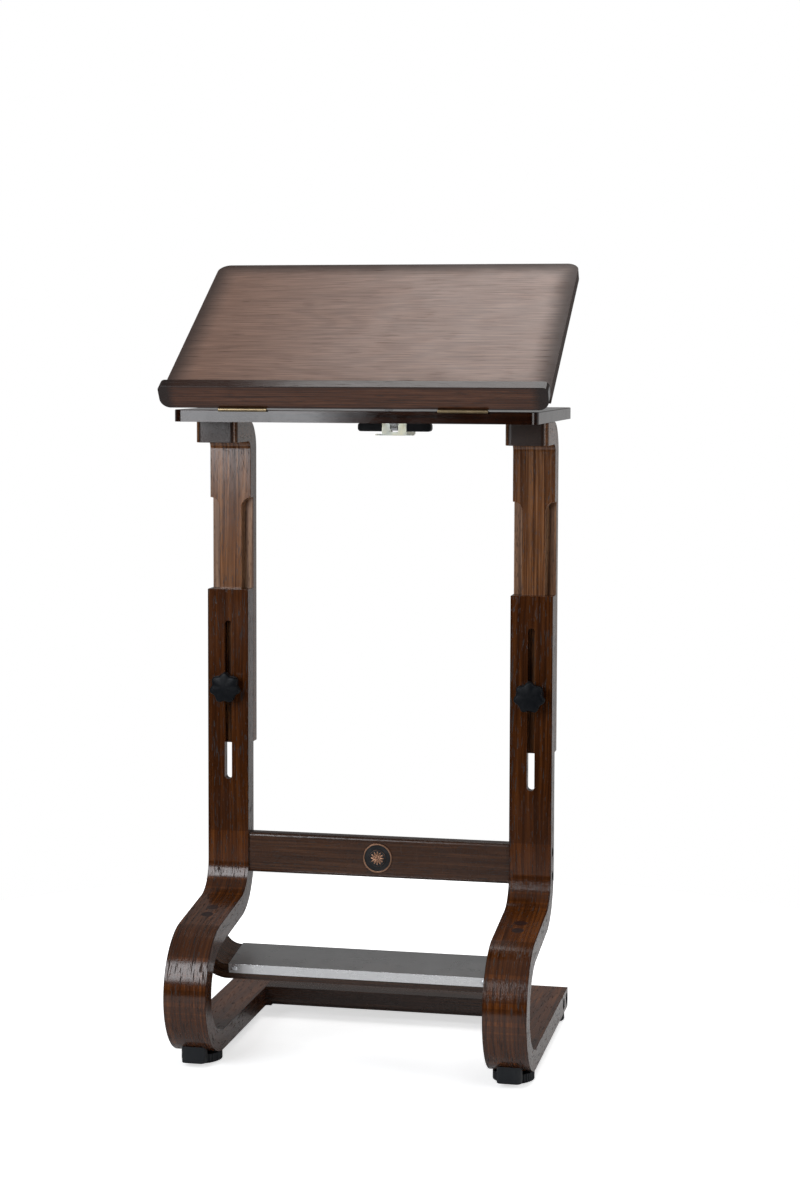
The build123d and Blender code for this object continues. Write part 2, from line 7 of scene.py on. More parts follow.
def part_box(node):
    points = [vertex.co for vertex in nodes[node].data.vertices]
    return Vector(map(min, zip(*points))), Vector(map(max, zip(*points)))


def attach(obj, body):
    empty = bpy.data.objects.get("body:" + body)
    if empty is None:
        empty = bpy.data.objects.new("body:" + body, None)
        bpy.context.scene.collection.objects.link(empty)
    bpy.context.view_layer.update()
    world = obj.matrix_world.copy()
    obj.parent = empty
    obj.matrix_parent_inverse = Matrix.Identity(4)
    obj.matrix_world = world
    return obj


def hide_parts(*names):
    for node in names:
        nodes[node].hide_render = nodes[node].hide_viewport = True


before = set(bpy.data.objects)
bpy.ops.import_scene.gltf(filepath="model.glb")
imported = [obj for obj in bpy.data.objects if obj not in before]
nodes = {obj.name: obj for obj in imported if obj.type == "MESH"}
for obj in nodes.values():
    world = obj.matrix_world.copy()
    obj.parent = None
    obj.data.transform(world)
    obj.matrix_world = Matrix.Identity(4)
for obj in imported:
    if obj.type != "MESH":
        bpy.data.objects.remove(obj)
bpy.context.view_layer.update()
scene = bpy.context.scene
scene.view_settings.view_transform = "Standard"
cornerNames = [row + "_" + side for row in ("front", "rear") for side in ("left", "right")]

# camera
shot = {
    "place": (0.7932, -3.6392, 1.0970),
    "look": (-0.20247, 0.97683, -0.06941),
    "roll": 0.17,
    "lens": 70.85,
    "shiftX": 0.0002,
    "shiftY": -0.0641,
    "sensor": 36.0,
    "farClip": 60.0,
}


def placeCamera(cfg):
    data = bpy.data.cameras.new("deskCamera")
    data.lens = cfg["lens"]
    data.sensor_width = cfg["sensor"]
    data.shift_x = cfg["shiftX"]
    data.shift_y = cfg["shiftY"]
    data.clip_end = cfg["farClip"]
    look = Vector(cfg["look"]).normalized()
    right = look.cross(Vector((0, 0, 1))).normalized()
    up = right.cross(look)
    roll = math.radians(cfg["roll"])
    rightTurned = right * math.cos(roll) + up * math.sin(roll)
    upTurned = up * math.cos(roll) - right * math.sin(roll)
    turn = Matrix((rightTurned, upTurned, -look)).transposed().to_4x4()
    camera = bpy.data.objects.new("deskCamera", data)
    camera.matrix_world = Matrix.Translation(Vector(cfg["place"])) @ turn
    scene.collection.objects.link(camera)
    scene.camera = camera


placeCamera(shot)

# node helpers
def plug(tree, socket, value):
    if isinstance(value, bpy.types.NodeSocket):
        tree.links.new(value, socket)
    else:
        socket.default_value = value


def placeNode(tree, kind, inputs=None, **settings):
    made = tree.nodes.new(kind)
    for key, value in settings.items():
        setattr(made, key, value)
    for key, value in (inputs or {}).items():
        plug(tree, made.inputs[key], value)
    return made


def addNode(tree, kind, inputs=None, **settings):
    return placeNode(tree, "ShaderNode" + kind, inputs, **settings)


def calc(tree, operation, first, second=None, third=None, clamp=False):
    made = addNode(tree, "Math", operation=operation, use_clamp=clamp)
    plug(tree, made.inputs[0], first)
    if second is not None:
        plug(tree, made.inputs[1], second)
    if third is not None:
        plug(tree, made.inputs[2], third)
    return made.outputs[0]


def vecCalc(tree, operation, first, second):
    made = addNode(tree, "VectorMath", operation=operation)
    plug(tree, made.inputs[0], first)
    plug(tree, made.inputs[1], second)
    return made.outputs[0]


def fadeRange(tree, value, low, high, toLow=0.0, toHigh=1.0, kind="SMOOTHSTEP"):
    made = addNode(tree, "MapRange", {"Value": value, "From Min": low, "From Max": high,
                                      "To Min": toLow, "To Max": toHigh}, interpolation_type=kind)
    return made.outputs["Result"]


def mixValue(tree, amount, first, second):
    return addNode(tree, "Mix", {0: amount, 2: first, 3: second}).outputs[0]


def mixColor(tree, amount, first, second, blend="MIX"):
    made = addNode(tree, "Mix", data_type="RGBA", blend_type=blend)
    plug(tree, made.inputs[0], amount)
    plug(tree, made.inputs[6], first)
    plug(tree, made.inputs[7], second)
    return made.outputs[2]


def noiseAt(tree, vector, scale, detail=2.0, roughness=0.5):
    made = addNode(tree, "TexNoise", {"Vector": vector, "Scale": scale, "Detail": detail,
                                      "Roughness": roughness})
    return made.outputs["Fac"]


def newGroup(name, inputs, outputs):
    tree = bpy.data.node_groups.new(name, "ShaderNodeTree")
    for label, kind, value in inputs:
        made = tree.interface.new_socket(name=label, in_out="INPUT", socket_type="NodeSocket" + kind)
        if value is not None:
            made.default_value = value
    for label, kind in outputs:
        tree.interface.new_socket(name=label, in_out="OUTPUT", socket_type="NodeSocket" + kind)
    return tree, tree.nodes.new("NodeGroupInput").outputs, tree.nodes.new("NodeGroupOutput").inputs


def useGroup(tree, group, inputs):
    made = tree.nodes.new("ShaderNodeGroup")
    made.node_tree = group
    for key, value in inputs.items():
        plug(tree, made.inputs[key], value)
    return made.outputs


def newMaterial(name):
    made = bpy.data.materials.new(name)
    made.use_nodes = True
    tree = made.node_tree
    return made, tree, tree.nodes["Principled BSDF"]


def linkObject(name, data):
    made = bpy.data.objects.new(name, data)
    scene.collection.objects.link(made)
    return made


def circlePoints(count, radius, first=0.0):
    angles = [2 * math.pi * (i + first) / count for i in range(count)]
    return [(radius * math.cos(a), radius * math.sin(a)) for a in angles]


# studio: a white sweep, a tall soft panel at the front left, one overhead and a strip on the right
studio = {
    "worldSeen": 1.0,
    "airFront": 0.02, "airBack": 0.19, "backFrom": -0.25, "backTo": 0.55,
    "airSweep": 0.46, "sweepTop": 0.09, "sweepFoot": -0.02, "sweepBehind": 0.5,
    "airTop": 0.22, "topFrom": 0.35, "topTo": 0.85,
    "floorTone": 0.88, "floorRough": 0.9, "floorLevel": 0.1, "floorRadius": 1.25, "floorDrop": -0.0004,
    "floorGlow": 0.62, "glowStart": 0.25, "glowShare": 0.62,
    "panels": [
        ("frontLeft", (-1.00, -1.95, 1.47), (-0.1, -0.1, 0.95), 1.15, 1.35, 34.0, (0.93, 0.96, 1.0)),
        ("overhead", (0.52, 0.60, 2.70), (0.1, 0.1, 1.0), 2.00, 1.60, 30.0, (1.0, 1.0, 1.0)),
        ("rightStrip", (2.10, -1.20, 1.20), (0.2, 0.0, 0.7), 0.70, 1.80, 14.0, (1.0, 1.0, 1.0)),
    ],
}
white = (1.0, 1.0, 1.0, 1.0)


def fillAir(cfg):
    # reflections see a dark room in front, a grey sweep behind and a softer ceiling; the lens sees white
    world = bpy.data.worlds.new("studioAir")
    scene.world = world
    world.use_nodes = True
    tree = world.node_tree
    tree.nodes.clear()
    way = addNode(tree, "SeparateXYZ", {0: addNode(tree, "TexCoord").outputs["Generated"]}).outputs
    back = fadeRange(tree, way["Y"], cfg["backFrom"], cfg["backTo"], cfg["airFront"], cfg["airBack"], "LINEAR")
    low = fadeRange(tree, way["Z"], cfg["sweepTop"], cfg["sweepFoot"], kind="LINEAR")
    behind = calc(tree, "GREATER_THAN", way["Y"], cfg["sweepBehind"])
    wall = mixValue(tree, calc(tree, "MULTIPLY", low, behind), back, cfg["airSweep"])
    rise = fadeRange(tree, way["Z"], cfg["topFrom"], cfg["topTo"], kind="LINEAR")
    room = mixValue(tree, rise, wall, cfg["airTop"])
    strength = mixValue(tree, addNode(tree, "LightPath").outputs["Is Camera Ray"], room, cfg["worldSeen"])
    air = addNode(tree, "Background", {"Color": white, "Strength": strength})
    addNode(tree, "OutputWorld", {"Surface": air.outputs[0]})


def hangPanels(cfg):
    for label, place, aim, wide, tall, watts, tone in cfg["panels"]:
        lamp = bpy.data.lights.new(label, "AREA")
        lamp.shape = "RECTANGLE"
        lamp.size = wide
        lamp.size_y = tall
        lamp.energy = watts
        lamp.color = tone
        panel = linkObject(label, lamp)
        panel.rotation_euler = (Vector(aim) - Vector(place)).to_track_quat("-Z", "Y").to_euler()
        panel.location = place


def layFloor(cfg):
    rim = [(x, y, cfg["floorDrop"]) for x, y in circlePoints(96, cfg["floorRadius"])]
    sheet = bpy.data.meshes.new("studioFloor")
    sheet.from_pydata(rim, [], [tuple(range(len(rim)))])
    floor = linkObject("studioFloor", sheet)
    paint, tree, gloss = newMaterial("floorPaint")
    gloss.inputs["Base Color"].default_value = (cfg["floorTone"], cfg["floorTone"], cfg["floorTone"], 1.0)
    gloss.inputs["Roughness"].default_value = cfg["floorRough"]
    gloss.inputs["Specular IOR Level"].default_value = cfg["floorLevel"]
    # the floor turns into plain white away from the feet, so no horizon shows
    where = addNode(tree, "TexCoord").outputs["Object"]
    far = addNode(tree, "VectorMath", {0: where}, operation="LENGTH").outputs["Value"]
    glow = fadeRange(tree, far, cfg["glowStart"], cfg["floorRadius"] * cfg["glowShare"], cfg["floorGlow"], 1.0,
                     "LINEAR")
    seen = addNode(tree, "LightPath").outputs["Is Camera Ray"]
    gloss.inputs["Emission Color"].default_value = white
    plug(tree, gloss.inputs["Emission Strength"], calc(tree, "MULTIPLY", glow, seen))
    sheet.materials.append(paint)


fillAir(studio)
hangPanels(studio)
layFloor(studio)
print("studio: camera, floor and", len(studio["panels"]), "panels")


# every effect below is a node group, placed in the materials that use it
grainRule = {"sway": (9.0, 2.6, 9.0), "swayReach": 0.016, "fineWide": 0.22, "fineLong": 0.35, "bandWide": 1.6,
             "bandLong": 2.0, "poreLine": 0.72, "poreSwing": 0.34, "poreSoft": 0.07}


def makeGrainFlow(cfg):
    # coords are across, along and depth in metres; streaks run along, pores are short dashes
    tree, given, out = newGroup(
        "grainFlow",
        [("Coords", "Vector", None), ("Offset", "Vector", (0.0, 0.0, 0.0)), ("Streak Width", "Float", 0.004),
         ("Streak Length", "Float", 0.25), ("Pore Width", "Float", 0.0009), ("Pore Length", "Float", 0.012),
         ("Pore Share", "Float", 0.5), ("Figure Width", "Float", 0.05), ("Figure Length", "Float", 0.45),
         ("Figure Lines", "Float", 9.0)],
        [("Streaks", "Float"), ("Fine", "Float"), ("Pores", "Float"), ("Figure", "Float")])
    moved = vecCalc(tree, "ADD", given["Coords"], given["Offset"])
    sway = noiseAt(tree, vecCalc(tree, "MULTIPLY", moved, cfg["sway"]), 1.0, 2.0)
    aside = calc(tree, "MULTIPLY", calc(tree, "SUBTRACT", sway, 0.5), cfg["swayReach"])
    shift = addNode(tree, "CombineXYZ", {"X": aside})
    bent = vecCalc(tree, "ADD", moved, shift.outputs[0])

    def stretched(wide, long):
        sizes = addNode(tree, "CombineXYZ", {"X": calc(tree, "DIVIDE", 1.0, wide),
                                             "Y": calc(tree, "DIVIDE", 1.0, long),
                                             "Z": calc(tree, "DIVIDE", 1.0, wide)})
        return vecCalc(tree, "MULTIPLY", bent, sizes.outputs[0])

    streaks = noiseAt(tree, stretched(given["Streak Width"], given["Streak Length"]), 1.0, 4.0, 0.62)
    plug(tree, out["Streaks"], fadeRange(tree, streaks, 0.30, 0.70))
    fine = noiseAt(tree, stretched(calc(tree, "MULTIPLY", given["Streak Width"], cfg["fineWide"]),
                                   calc(tree, "MULTIPLY", given["Streak Length"], cfg["fineLong"])), 1.0, 3.0, 0.6)
    plug(tree, out["Fine"], fadeRange(tree, fine, 0.28, 0.72))
    dashes = noiseAt(tree, stretched(given["Pore Width"], given["Pore Length"]), 1.0, 1.0, 0.4)
    bands = noiseAt(tree, stretched(calc(tree, "MULTIPLY", given["Streak Width"], cfg["bandWide"]),
                                    calc(tree, "MULTIPLY", given["Streak Length"], cfg["bandLong"])), 1.0, 1.0)
    swing = calc(tree, "MULTIPLY", given["Pore Share"], calc(tree, "MULTIPLY", bands, cfg["poreSwing"]))
    floorLine = calc(tree, "SUBTRACT", cfg["poreLine"], swing)
    over = calc(tree, "SUBTRACT", dashes, floorLine)
    plug(tree, out["Pores"], fadeRange(tree, over, 0.0, cfg["poreSoft"]))
    hills = noiseAt(tree, stretched(given["Figure Width"], given["Figure Length"]), 1.0, 1.5, 0.4)
    turns = calc(tree, "MULTIPLY", hills, given["Figure Lines"])
    waves = calc(tree, "SINE", calc(tree, "MULTIPLY", turns, 6.2832))
    plug(tree, out["Figure"], fadeRange(tree, waves, -0.6, 1.0))
    return tree


def makeEdgeBurst():
    # darker stain towards the edges of a board whose coords are centred on it
    tree, given, out = newGroup(
        "edgeBurst",
        [("Coords", "Vector", None), ("Half Across", "Float", 10.0), ("Half Along", "Float", 10.0),
         ("Half Depth", "Float", 10.0), ("Width", "Float", 0.01), ("Ragged", "Float", 0.3)],
        [("Mask", "Float")])
    parts = addNode(tree, "SeparateXYZ", {"Vector": given["Coords"]}).outputs
    insideA = calc(tree, "SUBTRACT", given["Half Across"], calc(tree, "ABSOLUTE", parts["X"]))
    insideL = calc(tree, "SUBTRACT", given["Half Along"], calc(tree, "ABSOLUTE", parts["Y"]))
    insideD = calc(tree, "SUBTRACT", given["Half Depth"], calc(tree, "ABSOLUTE", parts["Z"]))
    near = calc(tree, "SMOOTH_MIN", insideA, insideL, 0.02)
    near = calc(tree, "MINIMUM", near, insideD)
    ripple = noiseAt(tree, given["Coords"], 38.0, 3.0)
    uneven = calc(tree, "MULTIPLY", calc(tree, "SUBTRACT", ripple, 0.5), given["Ragged"])
    reach = calc(tree, "MULTIPLY", given["Width"], calc(tree, "ADD", 1.0, uneven))
    share = calc(tree, "DIVIDE", near, reach, clamp=True)
    plug(tree, out["Mask"], fadeRange(tree, share, 0.0, 1.0, 1.0, 0.0))
    return tree


def makePlyLayers():
    # thin veneers stacked through the thickness, each its own tone, with dark glue lines
    tree, given, out = newGroup(
        "plyLayers", [("Coords", "Vector", None), ("Layer", "Float", 0.0016)],
        [("Tone", "Float"), ("Glue", "Float")])
    depth = addNode(tree, "SeparateXYZ", {"Vector": given["Coords"]}).outputs["Z"]
    steps = calc(tree, "DIVIDE", depth, given["Layer"])
    index = calc(tree, "FLOOR", steps)
    tone = addNode(tree, "TexWhiteNoise", {"W": index}, noise_dimensions="1D").outputs["Value"]
    plug(tree, out["Tone"], tone)
    part = calc(tree, "FRACT", steps)
    line = fadeRange(tree, part, 0.0, 0.22, 1.0, 0.0)
    plug(tree, out["Glue"], line)
    return tree


def makeHandling():
    # faint smudges and fine scratches that change the gloss only
    tree, given, out = newGroup(
        "handlingMarks", [("Coords", "Vector", None), ("Size", "Float", 0.05), ("Scratch", "Float", 0.5)],
        [("Smudge", "Float"), ("Scratches", "Float")])
    scale = calc(tree, "DIVIDE", 1.0, given["Size"])
    plug(tree, out["Smudge"], fadeRange(tree, noiseAt(tree, given["Coords"], scale, 4.0, 0.6), 0.35, 0.7))
    lines = noiseAt(tree, vecCalc(tree, "MULTIPLY", given["Coords"], (40.0, 900.0, 900.0)), 1.0, 1.0)
    lift = calc(tree, "MULTIPLY", fadeRange(tree, lines, 0.66, 0.74), given["Scratch"])
    plug(tree, out["Scratches"], lift)
    return tree


grainFlow = makeGrainFlow(grainRule)
edgeBurst = makeEdgeBurst()
plyLayers = makePlyLayers()
handlingMarks = makeHandling()

woodBase = {
    "dark": (0.017, 0.0046, 0.0012), "mid": (0.060, 0.0165, 0.0034), "light": (0.125, 0.041, 0.0105),
    "offset": (0.0, 0.0, 0.0), "streakWidth": 0.0042, "streakLength": 0.26,
    "poreWidth": 0.0010, "poreLength": 0.012, "poreShare": 0.58, "poreDark": 0.75, "fine": 0.62,
    "figure": 0.18, "figureWidth": 0.05, "figureLength": 0.45, "figureLines": 8.0,
    "halfAcross": 10.0, "halfAlong": 10.0, "halfDepth": 10.0, "burstWidth": 0.003, "burst": 0.6,
    "ply": 0.25, "layer": 0.0016, "rough": 0.15, "bump": 0.30, "level": 0.5, "burstDull": 0.0,
    "burstInk": None, "poreDull": 0.25, "endDull": 0.30, "endReach": 0.0022, "endInk": 0.86,
    "endStart": -10.0, "endStop": 10.0, "endCrisp": 0.36, "endGlue": 0.30, "glueInk": 1.6,
    "smudgeSize": 0.07, "smudgeDull": 0.07, "scratch": 0.4, "scratchDull": 0.08,
    "fineRise": 0.25, "poreRise": -0.9, "bumpReach": 0.0004,
}


def woodMaterial(name, **changes):
    cfg = dict(woodBase, **changes)
    made, tree, gloss = newMaterial(name)
    coords = addNode(tree, "Attribute", attribute_name="grain").outputs["Vector"]
    flow = useGroup(tree, grainFlow, {
        "Coords": coords, "Offset": cfg["offset"], "Streak Width": cfg["streakWidth"],
        "Streak Length": cfg["streakLength"], "Pore Width": cfg["poreWidth"], "Pore Length": cfg["poreLength"],
        "Pore Share": cfg["poreShare"], "Figure Width": cfg["figureWidth"],
        "Figure Length": cfg["figureLength"], "Figure Lines": cfg["figureLines"]})
    ply = useGroup(tree, plyLayers, {"Coords": coords, "Layer": cfg["layer"]})
    edge = useGroup(tree, edgeBurst, {
        "Coords": coords, "Half Across": cfg["halfAcross"], "Half Along": cfg["halfAlong"],
        "Half Depth": cfg["halfDepth"], "Width": cfg["burstWidth"]})
    marks = useGroup(tree, handlingMarks, {
        "Coords": coords, "Size": cfg["smudgeSize"], "Scratch": cfg["scratch"]})
    ramp = addNode(tree, "ValToRGB", {"Fac": flow["Streaks"]})
    stops = ramp.color_ramp.elements
    stops[0].color = (*cfg["dark"], 1.0)
    stops[1].color = (*cfg["light"], 1.0)
    middle = stops.new(0.5)
    middle.color = (*cfg["mid"], 1.0)
    color = ramp.outputs["Color"]
    fineShade = calc(tree, "MULTIPLY_ADD", flow["Fine"], cfg["fine"], 1.0 - cfg["fine"] / 2)
    color = mixColor(tree, 1.0, color, addNode(tree, "CombineColor", {
        "Red": fineShade, "Green": fineShade, "Blue": fineShade}).outputs[0], "MULTIPLY")
    color = mixColor(tree, calc(tree, "MULTIPLY", flow["Figure"], cfg["figure"]), color, (*cfg["dark"], 1.0))
    color = mixColor(tree, calc(tree, "MULTIPLY", ply["Tone"], cfg["ply"]), color, (*cfg["light"], 1.0))
    color = mixColor(tree, calc(tree, "MULTIPLY", ply["Glue"], cfg["ply"] * cfg["glueInk"]), color,
                     (*cfg["dark"], 1.0))
    poreInk = (cfg["dark"][0] * 0.4, cfg["dark"][1] * 0.4, cfg["dark"][2] * 0.4, 1.0)
    color = mixColor(tree, calc(tree, "MULTIPLY", flow["Pores"], cfg["poreDark"]), color, poreInk)
    burstInk = cfg["burstInk"] or tuple(part * 0.7 for part in cfg["dark"])
    color = mixColor(tree, calc(tree, "MULTIPLY", edge["Mask"], cfg["burst"]), color, (*burstInk, 1.0))
    # cut ends soak up stain: darker and duller, with the glue lines showing
    along = addNode(tree, "SeparateXYZ", {"Vector": coords}).outputs["Y"]
    reach, crisp = cfg["endReach"], cfg["endReach"] * cfg["endCrisp"]
    ends = calc(tree, "MAXIMUM", fadeRange(tree, along, cfg["endStop"] - reach, cfg["endStop"] - crisp),
                fadeRange(tree, along, cfg["endStart"] + crisp, cfg["endStart"] + reach, 1.0, 0.0))
    color = mixColor(tree, calc(tree, "MULTIPLY", ends, cfg["endInk"]), color,
                     (cfg["dark"][0] * 0.30, cfg["dark"][1] * 0.35, cfg["dark"][2] * 0.5, 1.0))
    endGlue = calc(tree, "MULTIPLY", calc(tree, "MULTIPLY", ends, ply["Glue"]), cfg["endGlue"])
    color = mixColor(tree, endGlue, color, (*cfg["mid"], 1.0))
    plug(tree, gloss.inputs["Base Color"], color)
    rough = calc(tree, "MULTIPLY_ADD", flow["Pores"], cfg["poreDull"], cfg["rough"])
    rough = calc(tree, "MULTIPLY_ADD", ends, cfg["endDull"], rough)
    rough = calc(tree, "MULTIPLY_ADD", edge["Mask"], cfg["burstDull"], rough)
    rough = calc(tree, "MULTIPLY_ADD", marks["Smudge"], cfg["smudgeDull"], rough)
    rough = calc(tree, "ADD", rough, calc(tree, "MULTIPLY", marks["Scratches"], cfg["scratchDull"]))
    plug(tree, gloss.inputs["Roughness"], rough)
    height = calc(tree, "MULTIPLY_ADD", flow["Fine"], cfg["fineRise"],
                  calc(tree, "MULTIPLY", flow["Pores"], cfg["poreRise"]))
    bump = addNode(tree, "Bump", {"Height": height, "Strength": cfg["bump"], "Distance": cfg["bumpReach"]})
    plug(tree, gloss.inputs["Normal"], bump.outputs["Normal"])
    gloss.inputs["Specular IOR Level"].default_value = cfg["level"]
    return made


def metalMaterial(name, color, rough, brush, depth, mottle=0.25, tint=None):
    made, tree, gloss = newMaterial(name)
    where = addNode(tree, "TexCoord").outputs["Object"]
    lines = noiseAt(tree, vecCalc(tree, "MULTIPLY", where, brush), 1.0, 3.0, 0.6)
    cloud = fadeRange(tree, noiseAt(tree, where, 45.0, 4.0, 0.6), 0.3, 0.7)
    marks = useGroup(tree, handlingMarks, {"Coords": where, "Size": 0.03, "Scratch": 0.6})
    deep = tuple(part * (1.0 - mottle) for part in (tint or color))
    shade = mixColor(tree, cloud, (*color, 1.0), (*deep, 1.0))
    worn = (*(part * 0.7 for part in color), 1.0)
    shade = mixColor(tree, calc(tree, "MULTIPLY", lines, 0.3), shade, worn)
    plug(tree, gloss.inputs["Base Color"], shade)
    plug(tree, gloss.inputs["Roughness"], calc(
        tree, "ADD", calc(tree, "MULTIPLY_ADD", lines, 0.16, rough - 0.08),
        calc(tree, "MULTIPLY", marks["Smudge"], 0.08)))
    gloss.inputs["Metallic"].default_value = 1.0
    bump = addNode(tree, "Bump", {"Height": lines, "Strength": depth, "Distance": 0.0003})
    plug(tree, gloss.inputs["Normal"], bump.outputs["Normal"])
    return made


def plasticMaterial(name, color, rough, grain=1400.0, depth=0.25, rubbed=0.15, level=0.36):
    made, tree, gloss = newMaterial(name)
    where = addNode(tree, "TexCoord").outputs["Object"]
    skin = noiseAt(tree, where, grain, 2.0, 0.6)
    cloud = fadeRange(tree, noiseAt(tree, where, 70.0, 3.0, 0.6), 0.35, 0.7)
    pale = tuple(part + rubbed * 0.12 for part in color)
    shade = mixColor(tree, calc(tree, "MULTIPLY", cloud, 0.6), (*color, 1.0), (*pale, 1.0))
    plug(tree, gloss.inputs["Base Color"], shade)
    plug(tree, gloss.inputs["Roughness"], calc(
        tree, "MULTIPLY_ADD", skin, 0.18, calc(tree, "MULTIPLY_ADD", cloud, 0.10, rough - 0.09)))
    bump = addNode(tree, "Bump", {"Height": skin, "Strength": depth, "Distance": 0.0003})
    plug(tree, gloss.inputs["Normal"], bump.outputs["Normal"])
    gloss.inputs["Specular IOR Level"].default_value = level
    return made


# sizes of the sloping top, of the plugs, and the stains
slope = {"angle": 32.0, "hingeY": -0.1723, "hingeZ": 1.0190, "setBack": 0.0033, "shutGap": 0.0005,
         "ledgeThick": 0.0185, "ledgeHalfUp": 0.0197, "halfDeep": 0.192, "halfThick": 0.0098}
smallPlug, largePlug = 0.00775, 0.010
legStain = {"halfAcross": 0.0337, "burstWidth": 0.0035, "burst": 0.55}
lowerStain = {"dark": (0.018, 0.0044, 0.0010), "mid": (0.074, 0.0190, 0.0030), "light": (0.150, 0.046, 0.0090),
              "poreWidth": 0.0018, "poreLength": 0.017, "poreDull": 0.50, "bump": 0.50, "rough": 0.14}
upperStain = {"dark": (0.050, 0.0165, 0.0056), "mid": (0.165, 0.062, 0.0215), "light": (0.290, 0.130, 0.054),
              "poreWidth": 0.0012, "poreLength": 0.014, "bump": 0.25, "rough": 0.16, "endStop": 0.0,
              "streakWidth": 0.0030, "endDull": 0.16, "endInk": 0.95}
stripStain = {"dark": (0.075, 0.031, 0.0130), "mid": (0.230, 0.108, 0.050), "light": (0.360, 0.195, 0.102),
              "rough": 0.34, "burst": 0.0}
lowerLegWood = {side: woodMaterial("lowerLegStain_" + side, offset=offset, **legStain, **lowerStain)
                for side, offset in (("left", (0.31, 0.11, 0.05)), ("right", (1.73, 0.57, 0.21)))}
upperLegWood = {side: woodMaterial("upperLegStain_" + side, offset=offset, **legStain, **upperStain)
                for side, offset in (("left", (2.41, 0.27, 0.4)), ("right", (3.13, 0.83, 0.6)))}
stripWood = {side: woodMaterial("cutBackStain_" + side, offset=offset, **stripStain)
             for side, offset in (("left", (2.91, 0.17, 0.3)), ("right", (3.63, 0.43, 0.5)))}
topWood = woodMaterial("topPanelStain", dark=(0.118, 0.0600, 0.0390), mid=(0.192, 0.1060, 0.0730),
                       light=(0.238, 0.138, 0.100), streakWidth=0.0019, streakLength=0.120, poreWidth=0.0014,
                       poreLength=0.050, poreShare=0.50, poreDark=0.55, fine=0.24, figure=0.30,
                       figureWidth=0.100, figureLength=0.50, figureLines=13.0, halfAcross=slope["halfDeep"],
                       halfAlong=0.300, burstWidth=0.044, burst=0.94, burstDull=0.30,
                       burstInk=(0.022, 0.0085, 0.0045), ply=0.0, rough=0.31, bump=0.08, level=0.42)
ledgeWood = woodMaterial("ledgeStain", offset=(0.7, 0.3, 0.2), halfAlong=0.300, halfDepth=0.0197,
                         burstWidth=0.006, burst=0.88, figure=0.10, streakWidth=0.0022, streakLength=0.30,
                         poreWidth=0.0008, poreLength=0.03, dark=(0.024, 0.0066, 0.0026),
                         mid=(0.078, 0.0255, 0.0105), light=(0.130, 0.050, 0.024), rough=0.13, bump=0.05,
                         level=0.38, endStart=-0.300, endStop=0.300, endReach=0.030, endDull=0.0, endInk=0.92)
baseWood = woodMaterial("baseBoardStain", offset=(4.1, 0.9, 0.1), dark=(0.006, 0.0016, 0.0005),
                        mid=(0.026, 0.0056, 0.0012), light=(0.056, 0.0150, 0.0036), rough=0.10, poreDull=0.03,
                        halfAcross=0.192, halfAlong=0.282, burstWidth=0.02, burst=0.5, ply=0.15, bump=0.02)
railWood = woodMaterial("railStain", offset=(5.3, 0.2, 0.8), mid=(0.046, 0.0160, 0.0062),
                        light=(0.100, 0.041, 0.018), streakWidth=0.0035, poreShare=0.62, poreDark=0.85,
                        bump=0.2, figure=0.25, halfAcross=0.0325, burstWidth=0.004, rough=0.24)
trayWood = woodMaterial("trayPlyStain", offset=(6.1, 0.4, 0.3), ply=0.40, layer=0.0019,
                        mid=(0.060, 0.024, 0.010), light=(0.125, 0.056, 0.026), halfAcross=0.043,
                        burstWidth=0.003, rough=0.24, bump=0.12)
plugWood = {radius: woodMaterial("plugStain_" + label, dark=(0.014, 0.0040, 0.0028),
                                 mid=(0.044, 0.0105, 0.0075), light=(0.078, 0.0215, 0.0150),
                                 streakWidth=0.0013, streakLength=0.02,
                                 poreShare=0.6, halfAcross=radius, burstWidth=0.0011, burst=0.92, rough=0.30)
            for label, radius in (("small", smallPlug), ("large", largePlug))}
stainlessSkin = metalMaterial("brushedPlate", (0.66, 0.66, 0.665), 0.28, brush=(9.0, 700.0, 700.0), depth=0.02,
                              mottle=0.04)
zincSkin = metalMaterial("zincSteel", (0.60, 0.61, 0.63), 0.27, brush=(300.0, 300.0, 300.0), depth=0.05)
yellowZincSkin = metalMaterial("yellowZinc", (0.72, 0.68, 0.50), 0.30, brush=(120.0, 120.0, 120.0), depth=0.06,
                               mottle=0.25, tint=(0.62, 0.66, 0.62))
screwSkin = metalMaterial("screwSteel", (0.86, 0.87, 0.89), 0.40, brush=(300.0, 300.0, 300.0), depth=0.03,
                          mottle=0.1)
# a brighter copy of the plate's own steel for its front-facing lip: painted highlight where the front light falls
litLipSkin = metalMaterial("brushedLip", (0.86, 0.86, 0.865), 0.26, brush=(9.0, 700.0, 700.0), depth=0.015,
                        mottle=0.03)
brassSkin = metalMaterial("satinBrass", (0.31, 0.235, 0.135), 0.34, brush=(30.0, 700.0, 700.0), depth=0.06)
copperSkin = metalMaterial("copperMedal", (0.55, 0.31, 0.20), 0.36, brush=(500.0, 500.0, 500.0), depth=0.05,
                           mottle=0.4)
blackEnamel = plasticMaterial("blackEnamel", (0.012, 0.012, 0.013), 0.35, depth=0.05)
knobPlastic = plasticMaterial("knobPlastic", (0.0030, 0.0040, 0.0058), 0.40, depth=0.22, rubbed=0.02,
                              level=0.16)
footPlastic = plasticMaterial("footPlastic", (0.0080, 0.0098, 0.0125), 0.44, depth=0.25, rubbed=0.05)
padRubber = plasticMaterial("padRubber", (0.014, 0.014, 0.014), 0.75, depth=0.5)
print("materials:", len(bpy.data.materials))


# mesh helpers
mending = {"cadWeld": 0.000004, "strapWeld": 0.000002, "cutWeld": 0.00001, "flatAngle": 0.6,
           "bevelAngle": 34.0, "sharpAngle": 42.0, "faceWeight": 80}


